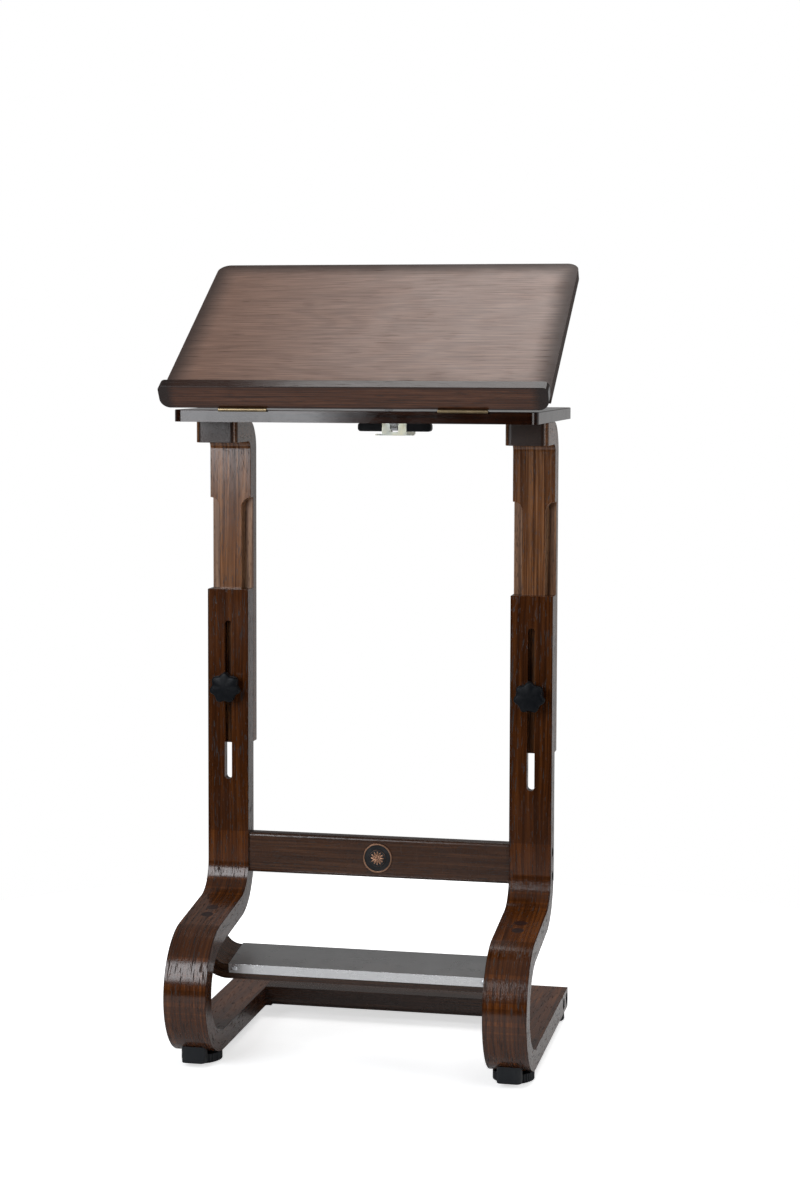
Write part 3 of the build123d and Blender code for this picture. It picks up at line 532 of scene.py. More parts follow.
def settled(obj):
    # modifiers are turned into the plain mesh
    bpy.context.view_layer.update()
    graph = bpy.context.evaluated_depsgraph_get()
    mesh = bpy.data.meshes.new_from_object(obj.evaluated_get(graph))
    obj.modifiers.clear()
    old = obj.data
    obj.data = mesh
    mesh.name = obj.name
    if old.users == 0:
        bpy.data.meshes.remove(old)
    return obj


def roundEdges(obj, width, segments=3):
    for face in obj.data.polygons:
        face.use_smooth = True
    if width > 0:
        bevel = obj.modifiers.new("softEdges", "BEVEL")
        bevel.width = width
        bevel.segments = segments
        bevel.limit_method = "ANGLE"
        bevel.angle_limit = math.radians(mending["bevelAngle"])
        bevel.use_clamp_overlap = True
    settled(obj)
    for face in obj.data.polygons:
        face.use_smooth = True
    obj.data.set_sharp_from_angle(angle=math.radians(mending["sharpAngle"]))
    even = obj.modifiers.new("evenNormals", "WEIGHTED_NORMAL")
    even.keep_sharp = True
    even.weight = mending["faceWeight"]
    settled(obj)
    return obj


def cadCopy(nodeName, name):
    # the CAD triangles joined up, with flat faces made whole again
    work = bmesh.new()
    work.from_mesh(nodes[nodeName].data)
    bmesh.ops.remove_doubles(work, verts=work.verts, dist=mending["cadWeld"])
    bmesh.ops.dissolve_limit(work, angle_limit=math.radians(mending["flatAngle"]),
                             verts=work.verts, edges=work.edges)
    mesh = bpy.data.meshes.new(name)
    work.to_mesh(mesh)
    work.free()
    return linkObject(name, mesh)


def storeGrain(obj, values):
    layer = obj.data.attributes.new("grain", "FLOAT_VECTOR", "POINT")
    layer.data.foreach_set("vector", values)


def setGrain(obj, where):
    # where(point) gives across, along and depth in metres
    storeGrain(obj, [part for vert in obj.data.vertices for part in where(vert.co)])


def closedShape(work, name):
    bmesh.ops.recalc_face_normals(work, faces=work.faces)
    mesh = bpy.data.meshes.new(name)
    work.to_mesh(mesh)
    work.free()
    return linkObject(name, mesh)


def joinRings(work, rings):
    for one, other in zip(rings, rings[1:]):
        for i in range(len(one)):
            j = (i + 1) % len(one)
            work.faces.new((one[i], one[j], other[j], other[i]))


def capRing(work, ring, tip):
    point = work.verts.new(tip)
    for i in range(len(ring)):
        work.faces.new((ring[i], ring[(i + 1) % len(ring)], point))


def boardGrain(origin, across, along, depth):
    middle = Vector(origin)
    ways = (across, along, depth)
    return lambda point: tuple((point - middle).dot(way) for way in ways)


def dress(obj, body, material, replaced):
    obj.data.materials.clear()
    obj.data.materials.append(material)
    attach(obj, body)
    for nodeName in replaced:
        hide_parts(nodeName)
    return obj


def plainCopy(nodeName, body, material, width, segments=2, where=None):
    obj = roundEdges(cadCopy(nodeName, nodeName + "_made"), width, segments)
    if where:
        setGrain(obj, where)
    return dress(obj, body, material, [nodeName])


# paths of the bent straps: lines and arcs in the plane of the bend, run along the middle of the thickness
def pathLength(step):
    if step["kind"] == "line":
        return (step["end"] - step["start"]).length
    return abs(step["radius"] * (step["to"] - step["from"]))


def onPath(step, share):
    if step["kind"] == "line":
        return step["start"].lerp(step["end"], share)
    angle = step["from"] + (step["to"] - step["from"]) * share
    return step["center"] + step["radius"] * Vector((math.cos(angle), math.sin(angle)))


def pathPoints(path, arcStep, lineStep):
    points = [onPath(path[0], 0.0)]
    for step in path:
        if step["kind"] == "line":
            count = max(1, round(pathLength(step) / lineStep))
        else:
            count = max(2, round(abs(math.degrees(step["to"] - step["from"])) / arcStep))
        for i in range(count):
            points.append(onPath(step, (i + 1) / count))
    return points


strapReading = {"beyond": 0.003, "farOff": 0.06, "farPenalty": 1.0, "sideWeight": 0.05}


def alongAndOffset(path, u, w, cfg=strapReading):
    # distance along the path and signed distance to its right-hand side
    spot = Vector((u, w))
    best = None
    travelled = 0.0
    for step in path:
        span = pathLength(step)
        if step["kind"] == "line":
            way = (step["end"] - step["start"]).normalized()
            here = (spot - step["start"]).dot(way)
            side = (spot - step["start"]).dot(Vector((way.y, -way.x)))
        else:
            arm = spot - step["center"]
            turn = 1.0 if step["to"] > step["from"] else -1.0
            angle = math.atan2(arm.y, arm.x)
            halfway = (step["from"] + step["to"]) / 2
            while angle - halfway > math.pi:
                angle -= 2 * math.pi
            while angle - halfway < -math.pi:
                angle += 2 * math.pi
            here = (angle - step["from"]) * turn * step["radius"]
            side = (arm.length - step["radius"]) * turn
        miss = max(0.0, -here, here - span) + abs(side) * cfg["sideWeight"]
        if abs(side) > cfg["farOff"]:
            miss += cfg["farPenalty"]
        if best is None or miss < best[0] - 1e-7:
            best = (miss, travelled + min(max(here, -cfg["beyond"]), span + cfg["beyond"]), side)
        travelled += span
    return best[1], best[2]


def newShapeTree(name, inputs):
    tree = bpy.data.node_groups.new(name, "GeometryNodeTree")
    for label, kind in [("Geometry", "Geometry"), *inputs, ("Finish", "Material")]:
        tree.interface.new_socket(name=label, in_out="INPUT", socket_type="NodeSocket" + kind)
    tree.interface.new_socket(name="Geometry", in_out="OUTPUT", socket_type="NodeSocketGeometry")
    return tree, tree.nodes.new("NodeGroupInput").outputs


def closeTree(tree, shape, finish):
    whole = placeNode(tree, "GeometryNodeRealizeInstances", {"Geometry": shape})
    dressed = placeNode(tree, "GeometryNodeSetMaterial", {"Geometry": whole.outputs[0], "Material": finish})
    placeNode(tree, "NodeGroupOutput", {0: dressed.outputs[0]})
    return tree


def spreadOver(tree, points, shape, turn, size):
    turned = placeNode(tree, "FunctionNodeEulerToRotation", {0: turn})
    spread = placeNode(tree, "GeometryNodeInstanceOnPoints", {
        "Points": points, "Instance": shape, "Rotation": turned.outputs[0], "Scale": size})
    return spread.outputs["Instances"]


def makeStrapTree():
    # a flat strap swept along a polyline; the polyline lies in the plane square to Square Axis
    tree, given = newShapeTree("bentStrap", [("Width", "Float"), ("Thickness", "Float"),
                                             ("Square Axis", "Vector")])
    line = placeNode(tree, "GeometryNodeMeshToCurve", {"Mesh": given["Geometry"]})
    square = placeNode(tree, "GeometryNodeSetCurveNormal", {
        "Curve": line.outputs["Curve"], "Normal": given["Square Axis"]}, mode="FREE")
    section = placeNode(tree, "GeometryNodeCurvePrimitiveQuadrilateral", {
        "Width": given["Width"], "Height": given["Thickness"]})
    swept = placeNode(tree, "GeometryNodeCurveToMesh", {
        "Curve": square.outputs["Curve"], "Profile Curve": section.outputs["Curve"], "Fill Caps": True})
    return closeTree(tree, swept.outputs["Mesh"], given["Finish"])


def runTree(obj, tree, values):
    # inputs are set by the socket's identifier before the first evaluation
    live = obj.modifiers.new(tree.name, "NODES")
    live.node_group = tree
    for item in tree.interface.items_tree:
        if item.item_type == "SOCKET" and item.in_out == "INPUT" and item.name in values:
            live[item.identifier] = values[item.name]
    return settled(obj)


strapTree = makeStrapTree()


def sweepStrap(name, path, place, width, thickness, material, arcStep=3.0, lineStep=0.05):
    # place turns (across, u, w) into the row frame
    points = [place @ Vector((0.0, p.x, p.y)) for p in pathPoints(path, arcStep, lineStep)]
    mesh = bpy.data.meshes.new(name)
    mesh.from_pydata(points, [(i, i + 1) for i in range(len(points) - 1)], [])
    obj = linkObject(name, mesh)
    axis = (place.to_3x3() @ Vector((1.0, 0.0, 0.0))).normalized()
    runTree(obj, strapTree, {"Width": width, "Thickness": thickness, "Square Axis": axis, "Finish": material})
    work = bmesh.new()
    work.from_mesh(obj.data)
    bmesh.ops.remove_doubles(work, verts=work.verts, dist=mending["strapWeld"])
    bmesh.ops.recalc_face_normals(work, faces=work.faces)
    work.to_mesh(obj.data)
    work.free()
    return obj


clear = 0.002  # cutters reach this far past the wood


def cutAway(obj, cutters):
    for cutter in cutters:
        cut = obj.modifiers.new("cut", "BOOLEAN")
        cut.operation = "DIFFERENCE"
        cut.solver = "EXACT"
        cut.object = cutter
        settled(obj)
        bpy.data.objects.remove(cutter)
    work = bmesh.new()
    work.from_mesh(obj.data)
    bmesh.ops.remove_doubles(work, verts=work.verts, dist=mending["cutWeld"])
    bmesh.ops.dissolve_degenerate(work, edges=work.edges, dist=mending["cutWeld"])
    work.to_mesh(obj.data)
    work.free()
    return obj


def prism(name, outline, start, reach):
    # outline points in the row frame, pushed along reach
    work = bmesh.new()
    low = [work.verts.new(Vector(p) + Vector(start)) for p in outline]
    high = [work.verts.new(Vector(p) + Vector(start) + Vector(reach)) for p in outline]
    work.faces.new(low)
    work.faces.new(list(reversed(high)))
    for i in range(len(low)):
        j = (i + 1) % len(low)
        work.faces.new((low[j], low[i], high[i], high[j]))
    return closedShape(work, name)


def blockCutter(low, high):
    x0, y0, z0 = low
    x1, y1, z1 = high
    outline = [(x0, y0, z0), (x1, y0, z0), (x1, y0, z1), (x0, y0, z1)]
    return prism("cutter", outline, (0, 0, 0), (0, y1 - y0, 0))


def roundCutter(center, radius, reach):
    return prism("cutter", [(x, 0.0, z) for x, z in circlePoints(40, radius, 0.5)], center, reach)


# lower legs: upright, knee, short shelf, front curve and floor arm, one strap each
bend = {
    "width": 0.0674, "thick": 0.032, "frontY": 0.017, "topZ": 0.7256, "bulgeRadius": 0.101, "kneeRadius": 0.050,
    "shelfFall": 8.0, "slotWidth": 0.012, "slotLow": 0.4165, "slotHigh": 0.6747, "grooveDeep": 0.016,
    "grooveLow": 0.332, "ribWidth": 0.037, "gap": 0.0003, "edge": 0.0016,
}


def line2(start, end):
    return {"kind": "line", "start": Vector(start), "end": Vector(end)}


def arc2(center, radius, start, stop):
    return {"kind": "arc", "center": Vector(center), "radius": radius,
            "from": math.radians(start), "to": math.radians(stop)}


def lowerPath(cfg, low, high):
    # runs from the top of the upright down to the rear end of the floor arm, along the middle of the strap
    half = cfg["thick"] / 2
    fall = math.radians(cfg["shelfFall"])
    curve = Vector((low.y + cfg["bulgeRadius"], low.z + cfg["bulgeRadius"]))
    rim = cfg["bulgeRadius"]
    shelfFront = curve + rim * Vector((math.cos(math.pi / 2 + fall), math.sin(math.pi / 2 + fall)))
    kneeY = cfg["frontY"] - cfg["kneeRadius"]
    kneeZ = shelfFront.y + (cfg["kneeRadius"] + (kneeY - shelfFront.x) * math.sin(fall)) / math.cos(fall)
    knee = Vector((kneeY, kneeZ))
    midKnee = cfg["kneeRadius"] + half
    midCurve = rim - half
    upTop = Vector((cfg["frontY"] + half, high.z))
    upFoot = Vector((cfg["frontY"] + half, kneeZ))
    shelfBack = knee + midKnee * Vector((math.cos(-math.pi / 2 + fall), math.sin(-math.pi / 2 + fall)))
    shelfEnd = curve + midCurve * Vector((math.cos(math.pi / 2 + fall), math.sin(math.pi / 2 + fall)))
    armStart = curve + midCurve * Vector((0.0, -1.0))
    return [
        line2(upTop, upFoot),
        arc2(knee, midKnee, 0.0, -90.0 + cfg["shelfFall"]),
        line2(shelfBack, shelfEnd),
        arc2(curve, midCurve, 90.0 + cfg["shelfFall"], 270.0),
        line2(armStart, (high.y, armStart.y)),
    ]


def lowerLeg(side, cfg):
    nodeName = "leg_lower_" + side
    low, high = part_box(nodeName)
    middleX = (low.x + high.x) / 2
    place = Matrix.Translation((middleX, 0.0, 0.0))
    path = lowerPath(cfg, low, high)
    leg = sweepStrap(nodeName + "_made", path, place, cfg["width"], cfg["thick"], lowerLegWood[side])
    half = cfg["slotWidth"] / 2
    backY = cfg["frontY"] + cfg["thick"]
    slotRing = []
    for first, centerZ in ((0.0, cfg["slotHigh"] - half), (math.pi, cfg["slotLow"] + half)):
        for i in range(33):
            a = first + math.pi * i / 32
            slotRing.append((middleX + half * math.cos(a), 0.0, centerZ + half * math.sin(a)))
    slot = prism("cutter", slotRing, (0, cfg["frontY"] - clear, 0), (0, cfg["thick"] + 2 * clear, 0))
    grooveHalf = cfg["ribWidth"] / 2 + cfg["gap"]
    groove = blockCutter((middleX - grooveHalf, backY - cfg["grooveDeep"], cfg["grooveLow"]),
                         (middleX + grooveHalf, backY + clear, cfg["topZ"] + clear))
    cutAway(leg, [groove, slot])
    roundEdges(leg, cfg["edge"])

    def grain(point):
        along, offset = alongAndOffset(path, point.y, point.z)
        return (point.x - middleX, along, offset)

    setGrain(leg, grain)
    return dress(leg, "base", lowerLegWood[side], [nodeName])


for side in ("left", "right"):
    lowerLeg(side, bend)
print("lower legs made")

# upper legs: a rib in front that runs in the groove, quarter-round shoulders, and an arm under the board
crook = {
    "width": 0.0674, "thick": 0.036, "ribWidth": 0.037, "elbowRadius": 0.012, "shoulderTop": 0.8728,
    "armCorner": 0.011, "boltRadius": 0.005, "boltZ": 0.5681, "boreLead": 0.01, "boreLong": 0.06,
    "edge": 0.0016,
}


def upperLeg(side, cfg):
    nodeName = "leg_upper_" + side
    low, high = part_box(nodeName)
    middleX = (low.x + high.x) / 2
    place = Matrix.Translation((middleX, 0.0, 0.0))
    half = cfg["thick"] / 2
    middleY = high.y - half
    elbow = Vector((high.y - cfg["thick"] - cfg["elbowRadius"], high.z - cfg["thick"] - cfg["elbowRadius"]))
    path = [
        line2((middleY, low.z), (middleY, elbow.y)),
        arc2(elbow, cfg["elbowRadius"] + half, 0.0, 90.0),
        line2((elbow.x, high.z - half), (low.y, high.z - half)),
    ]
    leg = sweepStrap(nodeName + "_made", path, place, cfg["width"], cfg["thick"], upperLegWood[side],
                     arcStep=6.0)
    shoulder = cfg["width"] / 2 - cfg["ribWidth"] / 2
    ribY = high.y - cfg["thick"]
    stripY = bend["frontY"] + bend["thick"] + bend["gap"]
    cutters = [roundCutter((middleX, ribY - cfg["boreLead"], cfg["boltZ"]), cfg["boltRadius"],
                           (0, cfg["boreLong"], 0))]
    for e in (-1, 1):
        # one outline for the cut-back strip and its quarter-round shoulder
        inner = middleX + e * cfg["ribWidth"] / 2
        outer = middleX + e * cfg["width"] / 2
        ring = [(inner, 0.0, low.z - clear), (inner, 0.0, cfg["shoulderTop"] - shoulder)]
        for i in range(1, 13):
            a = math.pi / 2 * i / 12
            ring.append((outer - e * shoulder * math.cos(a), 0.0,
                         cfg["shoulderTop"] - shoulder + shoulder * math.sin(a)))
        ring.append((outer + e * clear, 0.0, cfg["shoulderTop"]))
        ring.append((outer + e * clear, 0.0, low.z - clear))
        cutters.append(prism("cutter", ring, (0, ribY - clear, 0), (0, stripY - ribY + clear, 0)))
        # rounded front corner of the arm
        r = cfg["armCorner"]
        corner = Vector((middleX + e * (cfg["width"] / 2 - r), low.y + r))
        nip = [(corner.x, low.y - clear, 0.0), (corner.x, low.y, 0.0)]
        for i in range(1, 12):
            a = math.pi / 2 * i / 12
            nip.append((corner.x + e * r * math.sin(a), corner.y - r * math.cos(a), 0.0))
        nip.append((corner.x + e * r, corner.y, 0.0))
        nip.append((corner.x + e * (r + clear), corner.y, 0.0))
        nip.append((corner.x + e * (r + clear), low.y - clear, 0.0))
        cutters.append(prism("cutter", nip, (0, 0, high.z - cfg["thick"] - clear),
                             (0, 0, cfg["thick"] + 2 * clear)))
    cutAway(leg, cutters)
    roundEdges(leg, cfg["edge"])
    whole = sum(pathLength(part) for part in path)

    def grain(point):
        along, offset = alongAndOffset(path, point.y, point.z)
        return (point.x - middleX, along - whole, offset)

    setGrain(leg, grain)
    dress(leg, "upper", upperLegWood[side], [nodeName])
    leg.data.materials.append(stripWood[side])
    ribHalf = cfg["ribWidth"] / 2
    near = 0.001
    for face in leg.data.polygons:
        spot = face.center
        fromRib = abs(spot.x - middleX) - ribHalf
        onStrip = face.normal.y < -0.7 and abs(spot.y - stripY) < near and spot.z < cfg["shoulderTop"]
        onWall = abs(fromRib) < near and abs(face.normal.x) > 0.7 and spot.y < stripY
        onShoulder = fromRib > -near and ribY < spot.y < stripY and face.normal.z < -0.15
        if onStrip or (onWall and spot.z < cfg["shoulderTop"]) or (onShoulder and spot.z > cfg["boltZ"]):
            face.material_index = 1
    return leg


for side in ("left", "right"):
    upperLeg(side, crook)
print("upper legs made")

# footrest: bent ply with turned-up ends, lying parallel to the shelf of the legs
step = {"thick": 0.024, "deep": 0.086, "innerRadius": 0.026, "drop": 0.038, "middleY": -0.090, "edge": 0.0012}


def footrest(cfg):
    fall = math.radians(bend["shelfFall"])
    low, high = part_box("leg_lower_left")
    path = lowerPath(bend, low, high)
    curve = path[3]["center"]
    rim = bend["bulgeRadius"]
    front = curve + rim * Vector((math.cos(math.pi / 2 + fall), math.sin(math.pi / 2 + fall)))
    top = Vector((cfg["middleY"], front.y + (cfg["middleY"] - front.x) * math.tan(fall)))
    reach = -bend["thick"] - cfg["drop"]
    spot = Vector((0.0, top.x - reach * math.sin(fall), top.y + reach * math.cos(fall)))
    across = Vector((0.0, -math.cos(fall), -math.sin(fall)))
    along = Vector((1.0, 0.0, 0.0))
    rise = Vector((0.0, -math.sin(fall), math.cos(fall)))
    place = Matrix((across, along, rise)).transposed().to_4x4()
    place.translation = spot
    legX = (low.x + high.x) / 2
    wallX = abs(legX)
    radius = cfg["innerRadius"] + cfg["thick"] / 2
    turn = Vector((wallX - radius, radius - cfg["thick"] / 2))
    path = [
        line2((-wallX, cfg["drop"]), (-wallX, turn.y)),
        arc2((-turn.x, turn.y), radius, 180.0, 270.0),
        line2((-turn.x, -cfg["thick"] / 2), (turn.x, -cfg["thick"] / 2)),
        arc2((turn.x, turn.y), radius, 270.0, 360.0),
        line2((wallX, turn.y), (wallX, cfg["drop"])),
    ]
    tray = sweepStrap("footrestPly", path, place, cfg["deep"], cfg["thick"], trayWood, arcStep=5.0)
    roundEdges(tray, cfg["edge"])
    back = place.inverted()

    def grain(point):
        local = back @ point
        along, offset = alongAndOffset(path, local.y, local.z)
        return (local.x, along, offset)

    setGrain(tray, grain)
    dress(tray, "base", trayWood, ["footrest_tray"])
    return place


trayPlace = footrest(step)
plate = plainCopy("footrest_plate", "base", stainlessSkin, 0.0004)
# the plate's faces looking to the front take the brighter steel copy, a painted highlight
plate.data.materials.append(litLipSkin)
for face in plate.data.polygons:
    if face.normal.y < -0.8:
        face.material_index = 1
print("footrest made")

# boards and rails from the CAD shapes, with soft edges and grain along their length
xWay, yWay, zWay = Vector((1, 0, 0)), Vector((0, 1, 0)), Vector((0, 0, 1))
tilt = math.radians(slope["angle"])
slopeWay = Vector((0.0, math.cos(tilt), math.sin(tilt)))
slopeUp = Vector((0.0, -math.sin(tilt), math.cos(tilt)))
hingeLine = Vector((0.0, slope["hingeY"], slope["hingeZ"]))


def slopeSpot(fromHinge, above):
    return hingeLine + slopeWay * fromHinge + slopeUp * above


topMiddle = slopeSpot(slope["setBack"] + slope["ledgeThick"] + slope["halfDeep"],
                      slope["shutGap"] + slope["halfThick"])
ledgeMiddle = slopeSpot(slope["setBack"] + slope["ledgeThick"] / 2, slope["shutGap"] + slope["ledgeHalfUp"])
topGrain = boardGrain(topMiddle, slopeWay, xWay, slopeUp)
ledgeGrain = boardGrain(ledgeMiddle, slopeWay, xWay, slopeUp)


def middleOf(nodeName):
    low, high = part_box(nodeName)
    return (low + high) / 2


def loosePieces(mesh):
    # vertex indices of each separate shell
    work = bmesh.new()
    work.from_mesh(mesh)
    seen = set()
    groups = []
    for start in work.verts:
        if start.index in seen:
            continue
        seen.add(start.index)
        stack = [start]
        group = []
        while stack:
            vert = stack.pop()
            group.append(vert.index)
            for edge in vert.link_edges:
                other = edge.other_vert(vert)
                if other.index not in seen:
                    seen.add(other.index)
                    stack.append(other)
        groups.append(group)
    work.free()
    return groups


def woodPlugs(nodeName, radius):
    # end grain: rings about each plug's own axis, so the across value is the distance from it
    obj = roundEdges(cadCopy(nodeName, nodeName + "_made"), 0.0004, 2)
    verts = obj.data.vertices
    values = [0.0] * (3 * len(verts))
    fall = math.radians(bend["shelfFall"])
    way = Vector((0.0, -math.sin(fall), math.cos(fall))) if nodeName.startswith("shelf") else xWay
    for group in loosePieces(obj.data):
        low = Vector((min(verts[i].co[k] for i in group) for k in range(3)))
        high = Vector((max(verts[i].co[k] for i in group) for k in range(3)))
        middle = (low + high) / 2
        for i in group:
            arm = verts[i].co - middle
            depth = arm.dot(way)
            values[3 * i:3 * i + 3] = [(arm - way * depth).length, middle.z + depth, middle.y]
    storeGrain(obj, values)
    return dress(obj, "base", plugWood[radius], [nodeName])


plainCopy("top_board", "top", topWood, 0.0032, 4, topGrain)
plainCopy("ledge", "top", ledgeWood, 0.0030, 4, ledgeGrain)
plainCopy("base_board", "upper", baseWood, 0.0016, 3,
          boardGrain(middleOf("base_board"), yWay, xWay, zWay))
plainCopy("cross_rail", "base", railWood, 0.0005, 2,
          boardGrain(middleOf("cross_rail"), zWay, xWay, yWay))
plainCopy("rear_rail", "base", railWood, 0.0014, 3,
          boardGrain(middleOf("rear_rail"), yWay, xWay, zWay))
for side in ("left", "right"):
    for nodeName, radius in (("rail_plugs_", smallPlug), ("arm_plugs_", largePlug),
                             ("shelf_plugs_", largePlug)):
        woodPlugs(nodeName + side, radius)
print("boards made")

# star knobs: seven soft lobes, a hub behind and a low crown in front
knobShape = {"lobes": 7, "valley": 0.0210, "lobe": 0.0040, "hub": 0.0115, "hubDeep": 0.009,
             "bore": 0.00505, "boreDeep": 0.019, "deep": 0.025, "around": 126}


def starKnob(side, cfg):
    nodeName = "knob_" + side
    low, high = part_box(nodeName)
    middle = Vector(((low.x + high.x) / 2, high.y, crook["boltZ"]))
    # each ring: share of the star outline, then an extra radius, then the distance in front of the washer
    rings = [(0, cfg["bore"], cfg["boreDeep"]), (0, cfg["bore"], 0.0), (0, cfg["hub"], 0.0),
             (0, cfg["hub"], cfg["hubDeep"]), (1, -0.0018, cfg["hubDeep"]),
             (1, -0.0005, cfg["hubDeep"] + 0.0005),
             (1, 0.0, cfg["hubDeep"] + 0.0018), (1, 0.0, cfg["deep"] - 0.0045),
             (1, -0.0003, cfg["deep"] - 0.0032), (1, -0.0012, cfg["deep"] - 0.0022),
             (1, -0.0028, cfg["deep"] - 0.0016), (0.72, 0.0, cfg["deep"] - 0.0009),
             (0.45, 0.0, cfg["deep"] - 0.0003), (0.2, 0.0, cfg["deep"] - 0.00005)]
    work = bmesh.new()
    loops = []
    for share, extra, front in rings:
        loop = []
        for i in range(cfg["around"]):
            a = 2 * math.pi * i / cfg["around"]
            wave = 0.5 + 0.5 * math.cos(cfg["lobes"] * (a - math.pi / 2))
            r = share * (cfg["valley"] + cfg["lobe"] * wave) + extra
            loop.append(work.verts.new(middle + Vector((r * math.cos(a), -front, r * math.sin(a)))))
        loops.append(loop)
    joinRings(work, loops)
    capRing(work, loops[0], middle + Vector((0.0, -cfg["boreDeep"], 0.0)))
    capRing(work, loops[-1], middle + Vector((0.0, -cfg["deep"], 0.0)))
    knob = roundEdges(closedShape(work, nodeName + "_made"), 0.0)
    return dress(knob, nodeName, knobPlastic, [nodeName])


# screws: one domed head with a cross recess, set out by nodes on the points of a small mesh
screwShape = {"head": 0.004, "rise": 0.0021, "shank": 0.002, "long": 0.016, "recess": 0.0009, "cross": 0.0026,
              "recessDeep": 0.0011, "around": 28}


def screwTemplate(cfg):
    profile = [(cfg["shank"], -cfg["long"]), (cfg["shank"], 0.0), (cfg["head"], 0.0)]
    for i in range(1, 6):
        a = math.pi / 2 * i / 6
        profile.append((cfg["head"] * math.cos(a), cfg["rise"] * math.sin(a)))
    work = bmesh.new()
    loops = [[work.verts.new((x, y, z)) for x, y in circlePoints(cfg["around"], r)] for r, z in profile]
    joinRings(work, loops)
    work.faces.new(loops[0])
    capRing(work, loops[-1], (0.0, 0.0, cfg["rise"]))
    screw = closedShape(work, "screwTemplate")
    w, c, base = cfg["recess"] / 2, cfg["cross"], cfg["rise"] - cfg["recessDeep"]
    cutAway(screw, [blockCutter((-c, -w, base), (c, w, cfg["rise"] + 0.001)),
                    blockCutter((-w, -c, base), (w, c, cfg["rise"] + 0.001))])
    return roundEdges(screw, 0.0)


def makeSetTree():
    # copies of a template on the points of a small mesh
    tree, given = newShapeTree("headSet", [("Template", "Object"), ("Turn", "Vector"), ("Size", "Vector")])
    shape = placeNode(tree, "GeometryNodeObjectInfo", {"Object": given["Template"]}).outputs["Geometry"]
    heads = spreadOver(tree, given["Geometry"], shape, given["Turn"], given["Size"])
    return closeTree(tree, heads, given["Finish"])


# where the heads sit on their plates, and how far they are flattened
screwSeats = {"plateFront": 0.0015, "plateDown": 0.006, "trackDown": 0.002, "trackSize": (1.0, 1.0, 0.12),
              "leafSpan": 0.026, "leafReach": 0.0153, "leafSize": (0.8, 0.8, 0.16)}


def screwSet(name, points, turn, size, template, tree, body, material, replaced=()):
    mesh = bpy.data.meshes.new(name)
    mesh.from_pydata(points, [], [])
    heads = linkObject(name, mesh)
    runTree(heads, tree, {"Template": template, "Turn": (math.radians(turn), 0.0, 0.0), "Size": size,
                          "Finish": material})
    return dress(heads, body, material, replaced)


def screwSets(cfg):
    template = screwTemplate(screwShape)
    tree = makeSetTree()
    head = screwShape["head"]
    low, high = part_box("plate_screws")
    front = step["deep"] / 2 + cfg["plateFront"]
    plateSpots = [trayPlace @ Vector((front, x, -cfg["plateDown"])) for x in (low.x + head, high.x - head)]
    screwSet("plateScrews_made", plateSpots, 90.0 + bend["shelfFall"], (1.0, 1.0, 1.0), template, tree,
             "base", screwSkin, ["plate_screws"])
    low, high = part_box("track_screws")
    trackSpots = [(x, y, high.z - cfg["trackDown"])
                  for x in (low.x + head, high.x - head) for y in (low.y + head, high.y - head)]
    screwSet("trackScrews_made", trackSpots, 180.0, cfg["trackSize"], template, tree,
             "upper", zincSkin, ["track_screws"])
    # three in each hinge leaf, lying almost flush so the hinge can shut
    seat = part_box("base_board")[1].z
    for side in ("left", "right"):
        low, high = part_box("hinge_pin_" + side)
        places = [(low.x + high.x) / 2 + share * cfg["leafSpan"] for share in (-1, 0, 1)]
        lowSpots = [(x, hingeLine.y + cfg["leafReach"], seat) for x in places]
        screwSet("hingeScrewsLow_" + side, lowSpots, 0.0, cfg["leafSize"], template, tree,
                 "upper", brassSkin)
        upSpots = [slopeSpot(cfg["leafReach"], slope["shutGap"]) + xWay * x for x in places]
        screwSet("hingeScrewsHigh_" + side, upSpots, 180.0 + slope["angle"], cfg["leafSize"], template, tree,
                 "top", brassSkin)
    bpy.data.objects.remove(template)


# medallion: copper rim, black band, and a rosette of twelve outer and seven inner petals
badge = {"petals": 12, "petalRing": 0.0072, "petalLong": 0.0040, "petalWide": 0.0015, "petalRise": 0.0008,
         "inner": 7, "innerRing": 0.0030, "innerLong": 0.0022, "innerWide": 0.0011,
         "rimProud": 0.0008}


def makePetalTree():
    # petals set round a ring, each pointing away from its centre
    tree, given = newShapeTree("petalRing", [("Count", "Int"), ("Ring", "Float"), ("Long", "Float"),
                                             ("Wide", "Float"), ("Rise", "Float")])
    ring = placeNode(tree, "GeometryNodeMeshCircle", {"Vertices": given["Count"], "Radius": given["Ring"]})
    petal = placeNode(tree, "GeometryNodeMeshUVSphere", {"Segments": 16, "Rings": 8, "Radius": 1.0})
    size = addNode(tree, "CombineXYZ", {"X": given["Long"], "Y": given["Wide"], "Z": given["Rise"]})
    part = calc(tree, "DIVIDE", placeNode(tree, "GeometryNodeInputIndex").outputs[0], given["Count"])
    about = addNode(tree, "CombineXYZ", {"Z": calc(tree, "MULTIPLY", part, 2 * math.pi)})
    petals = spreadOver(tree, ring.outputs["Mesh"], petal.outputs["Mesh"], about.outputs[0], size.outputs[0])
    return closeTree(tree, petals, given["Finish"])


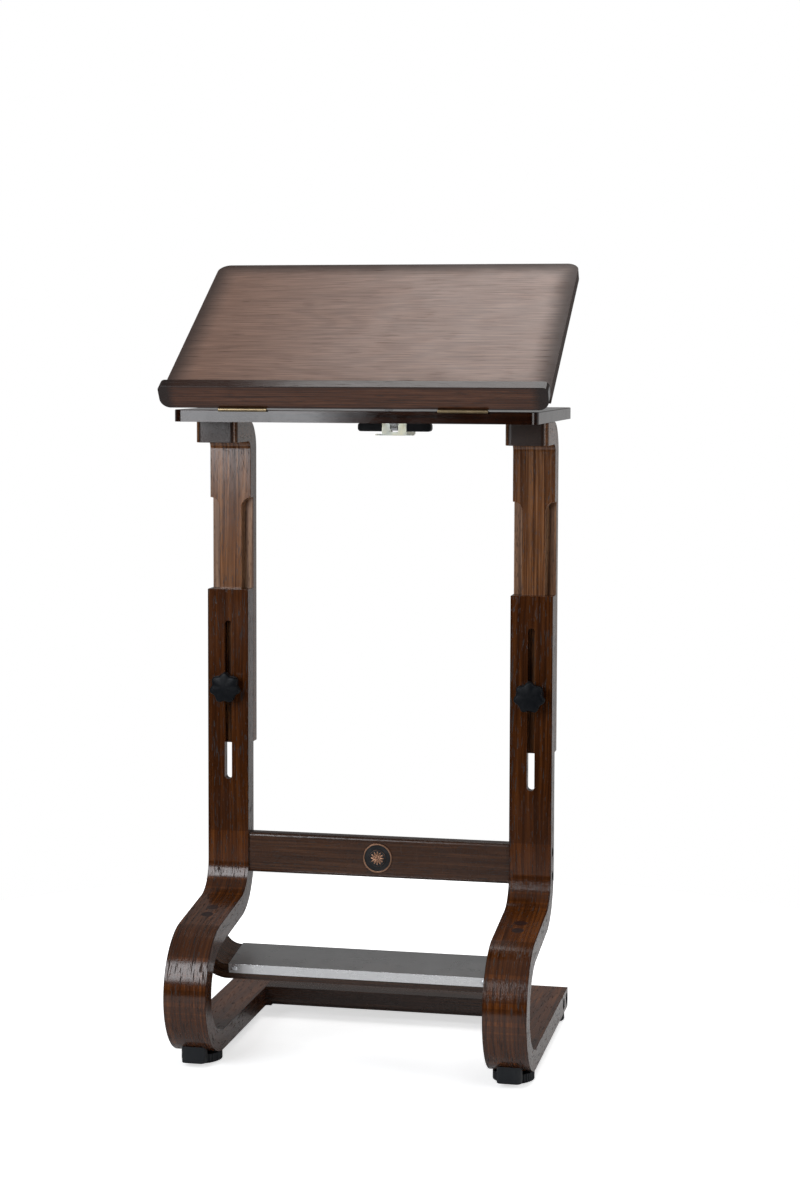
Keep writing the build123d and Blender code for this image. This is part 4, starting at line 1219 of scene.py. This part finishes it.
def medallion(cfg):
    ring = plainCopy("badge_ring", "base", copperSkin, 0.0003)
    ring.data.materials.append(blackEnamel)
    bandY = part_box("badge_ring")[0].y + cfg["rimProud"]
    for face in ring.data.polygons:
        if face.normal.y < -0.9 and face.center.y > bandY:
            face.material_index = 1
    disc = plainCopy("badge_disc", "base", copperSkin, 0.0006, 3)
    low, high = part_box("badge_disc")
    middle = Vector(((low.x + high.x) / 2, low.y, (low.z + high.z) / 2))
    disc.data.materials.append(blackEnamel)
    for face in disc.data.polygons:
        if face.normal.y < -0.95:
            face.material_index = 1
    tree = makePetalTree()
    upright = Matrix.Translation(middle) @ Matrix.Rotation(math.radians(90.0), 4, "X")
    sets = [("rosetteOuter", cfg["petals"], cfg["petalRing"], cfg["petalLong"], cfg["petalWide"]),
            ("rosetteInner", cfg["inner"], cfg["innerRing"], cfg["innerLong"], cfg["innerWide"])]
    for name, count, ringSize, long, wide in sets:
        petals = linkObject(name, bpy.data.meshes.new(name))
        runTree(petals, tree, {"Count": count, "Ring": ringSize, "Long": long, "Wide": wide,
                               "Rise": cfg["petalRise"], "Finish": copperSkin})
        petals.data.transform(upright)
        for face in petals.data.polygons:
            face.use_smooth = True
        dress(petals, "base", copperSkin, [])


# metal and plastic parts
for side in ("left", "right"):
    plainCopy("bolt_" + side, "upper", zincSkin, 0.0009, 3)
    plainCopy("washer_" + side, "upper", zincSkin, 0.0003)
    starKnob(side, knobShape)
    plainCopy("hinge_lower_" + side, "upper", brassSkin, 0.0004)
    plainCopy("hinge_upper_" + side, "top", brassSkin, 0.0004)
    plainCopy("hinge_pin_" + side, "upper", brassSkin, 0.0002)
    plainCopy("toe_block_" + side, "base", footPlastic, 0.0012, 3)
    plainCopy("prop_grip_" + side, "prop", knobPlastic, 0.0012, 3)
plainCopy("prop_track", "upper", yellowZincSkin, 0.0003)
plainCopy("prop_lug", "top", yellowZincSkin, 0.0003)
plainCopy("prop_pin", "top", zincSkin, 0.0003)
plainCopy("prop_arm", "prop", zincSkin, 0.0006)
plainCopy("prop_bar", "prop", zincSkin, 0.0004)
screwSets(screwSeats)
medallion(badge)
for corner in cornerNames:
    plainCopy("wheel_" + corner, "wheel_" + corner, footPlastic, 0.0005)
    plainCopy("pad_" + corner, "pad_" + corner, padRubber, 0.0003)
    plainCopy("stud_" + corner, "wheel_" + corner, zincSkin, 0.0003)
    plainCopy("insert_" + corner, "base", zincSkin, 0.0)
print("hardware made")
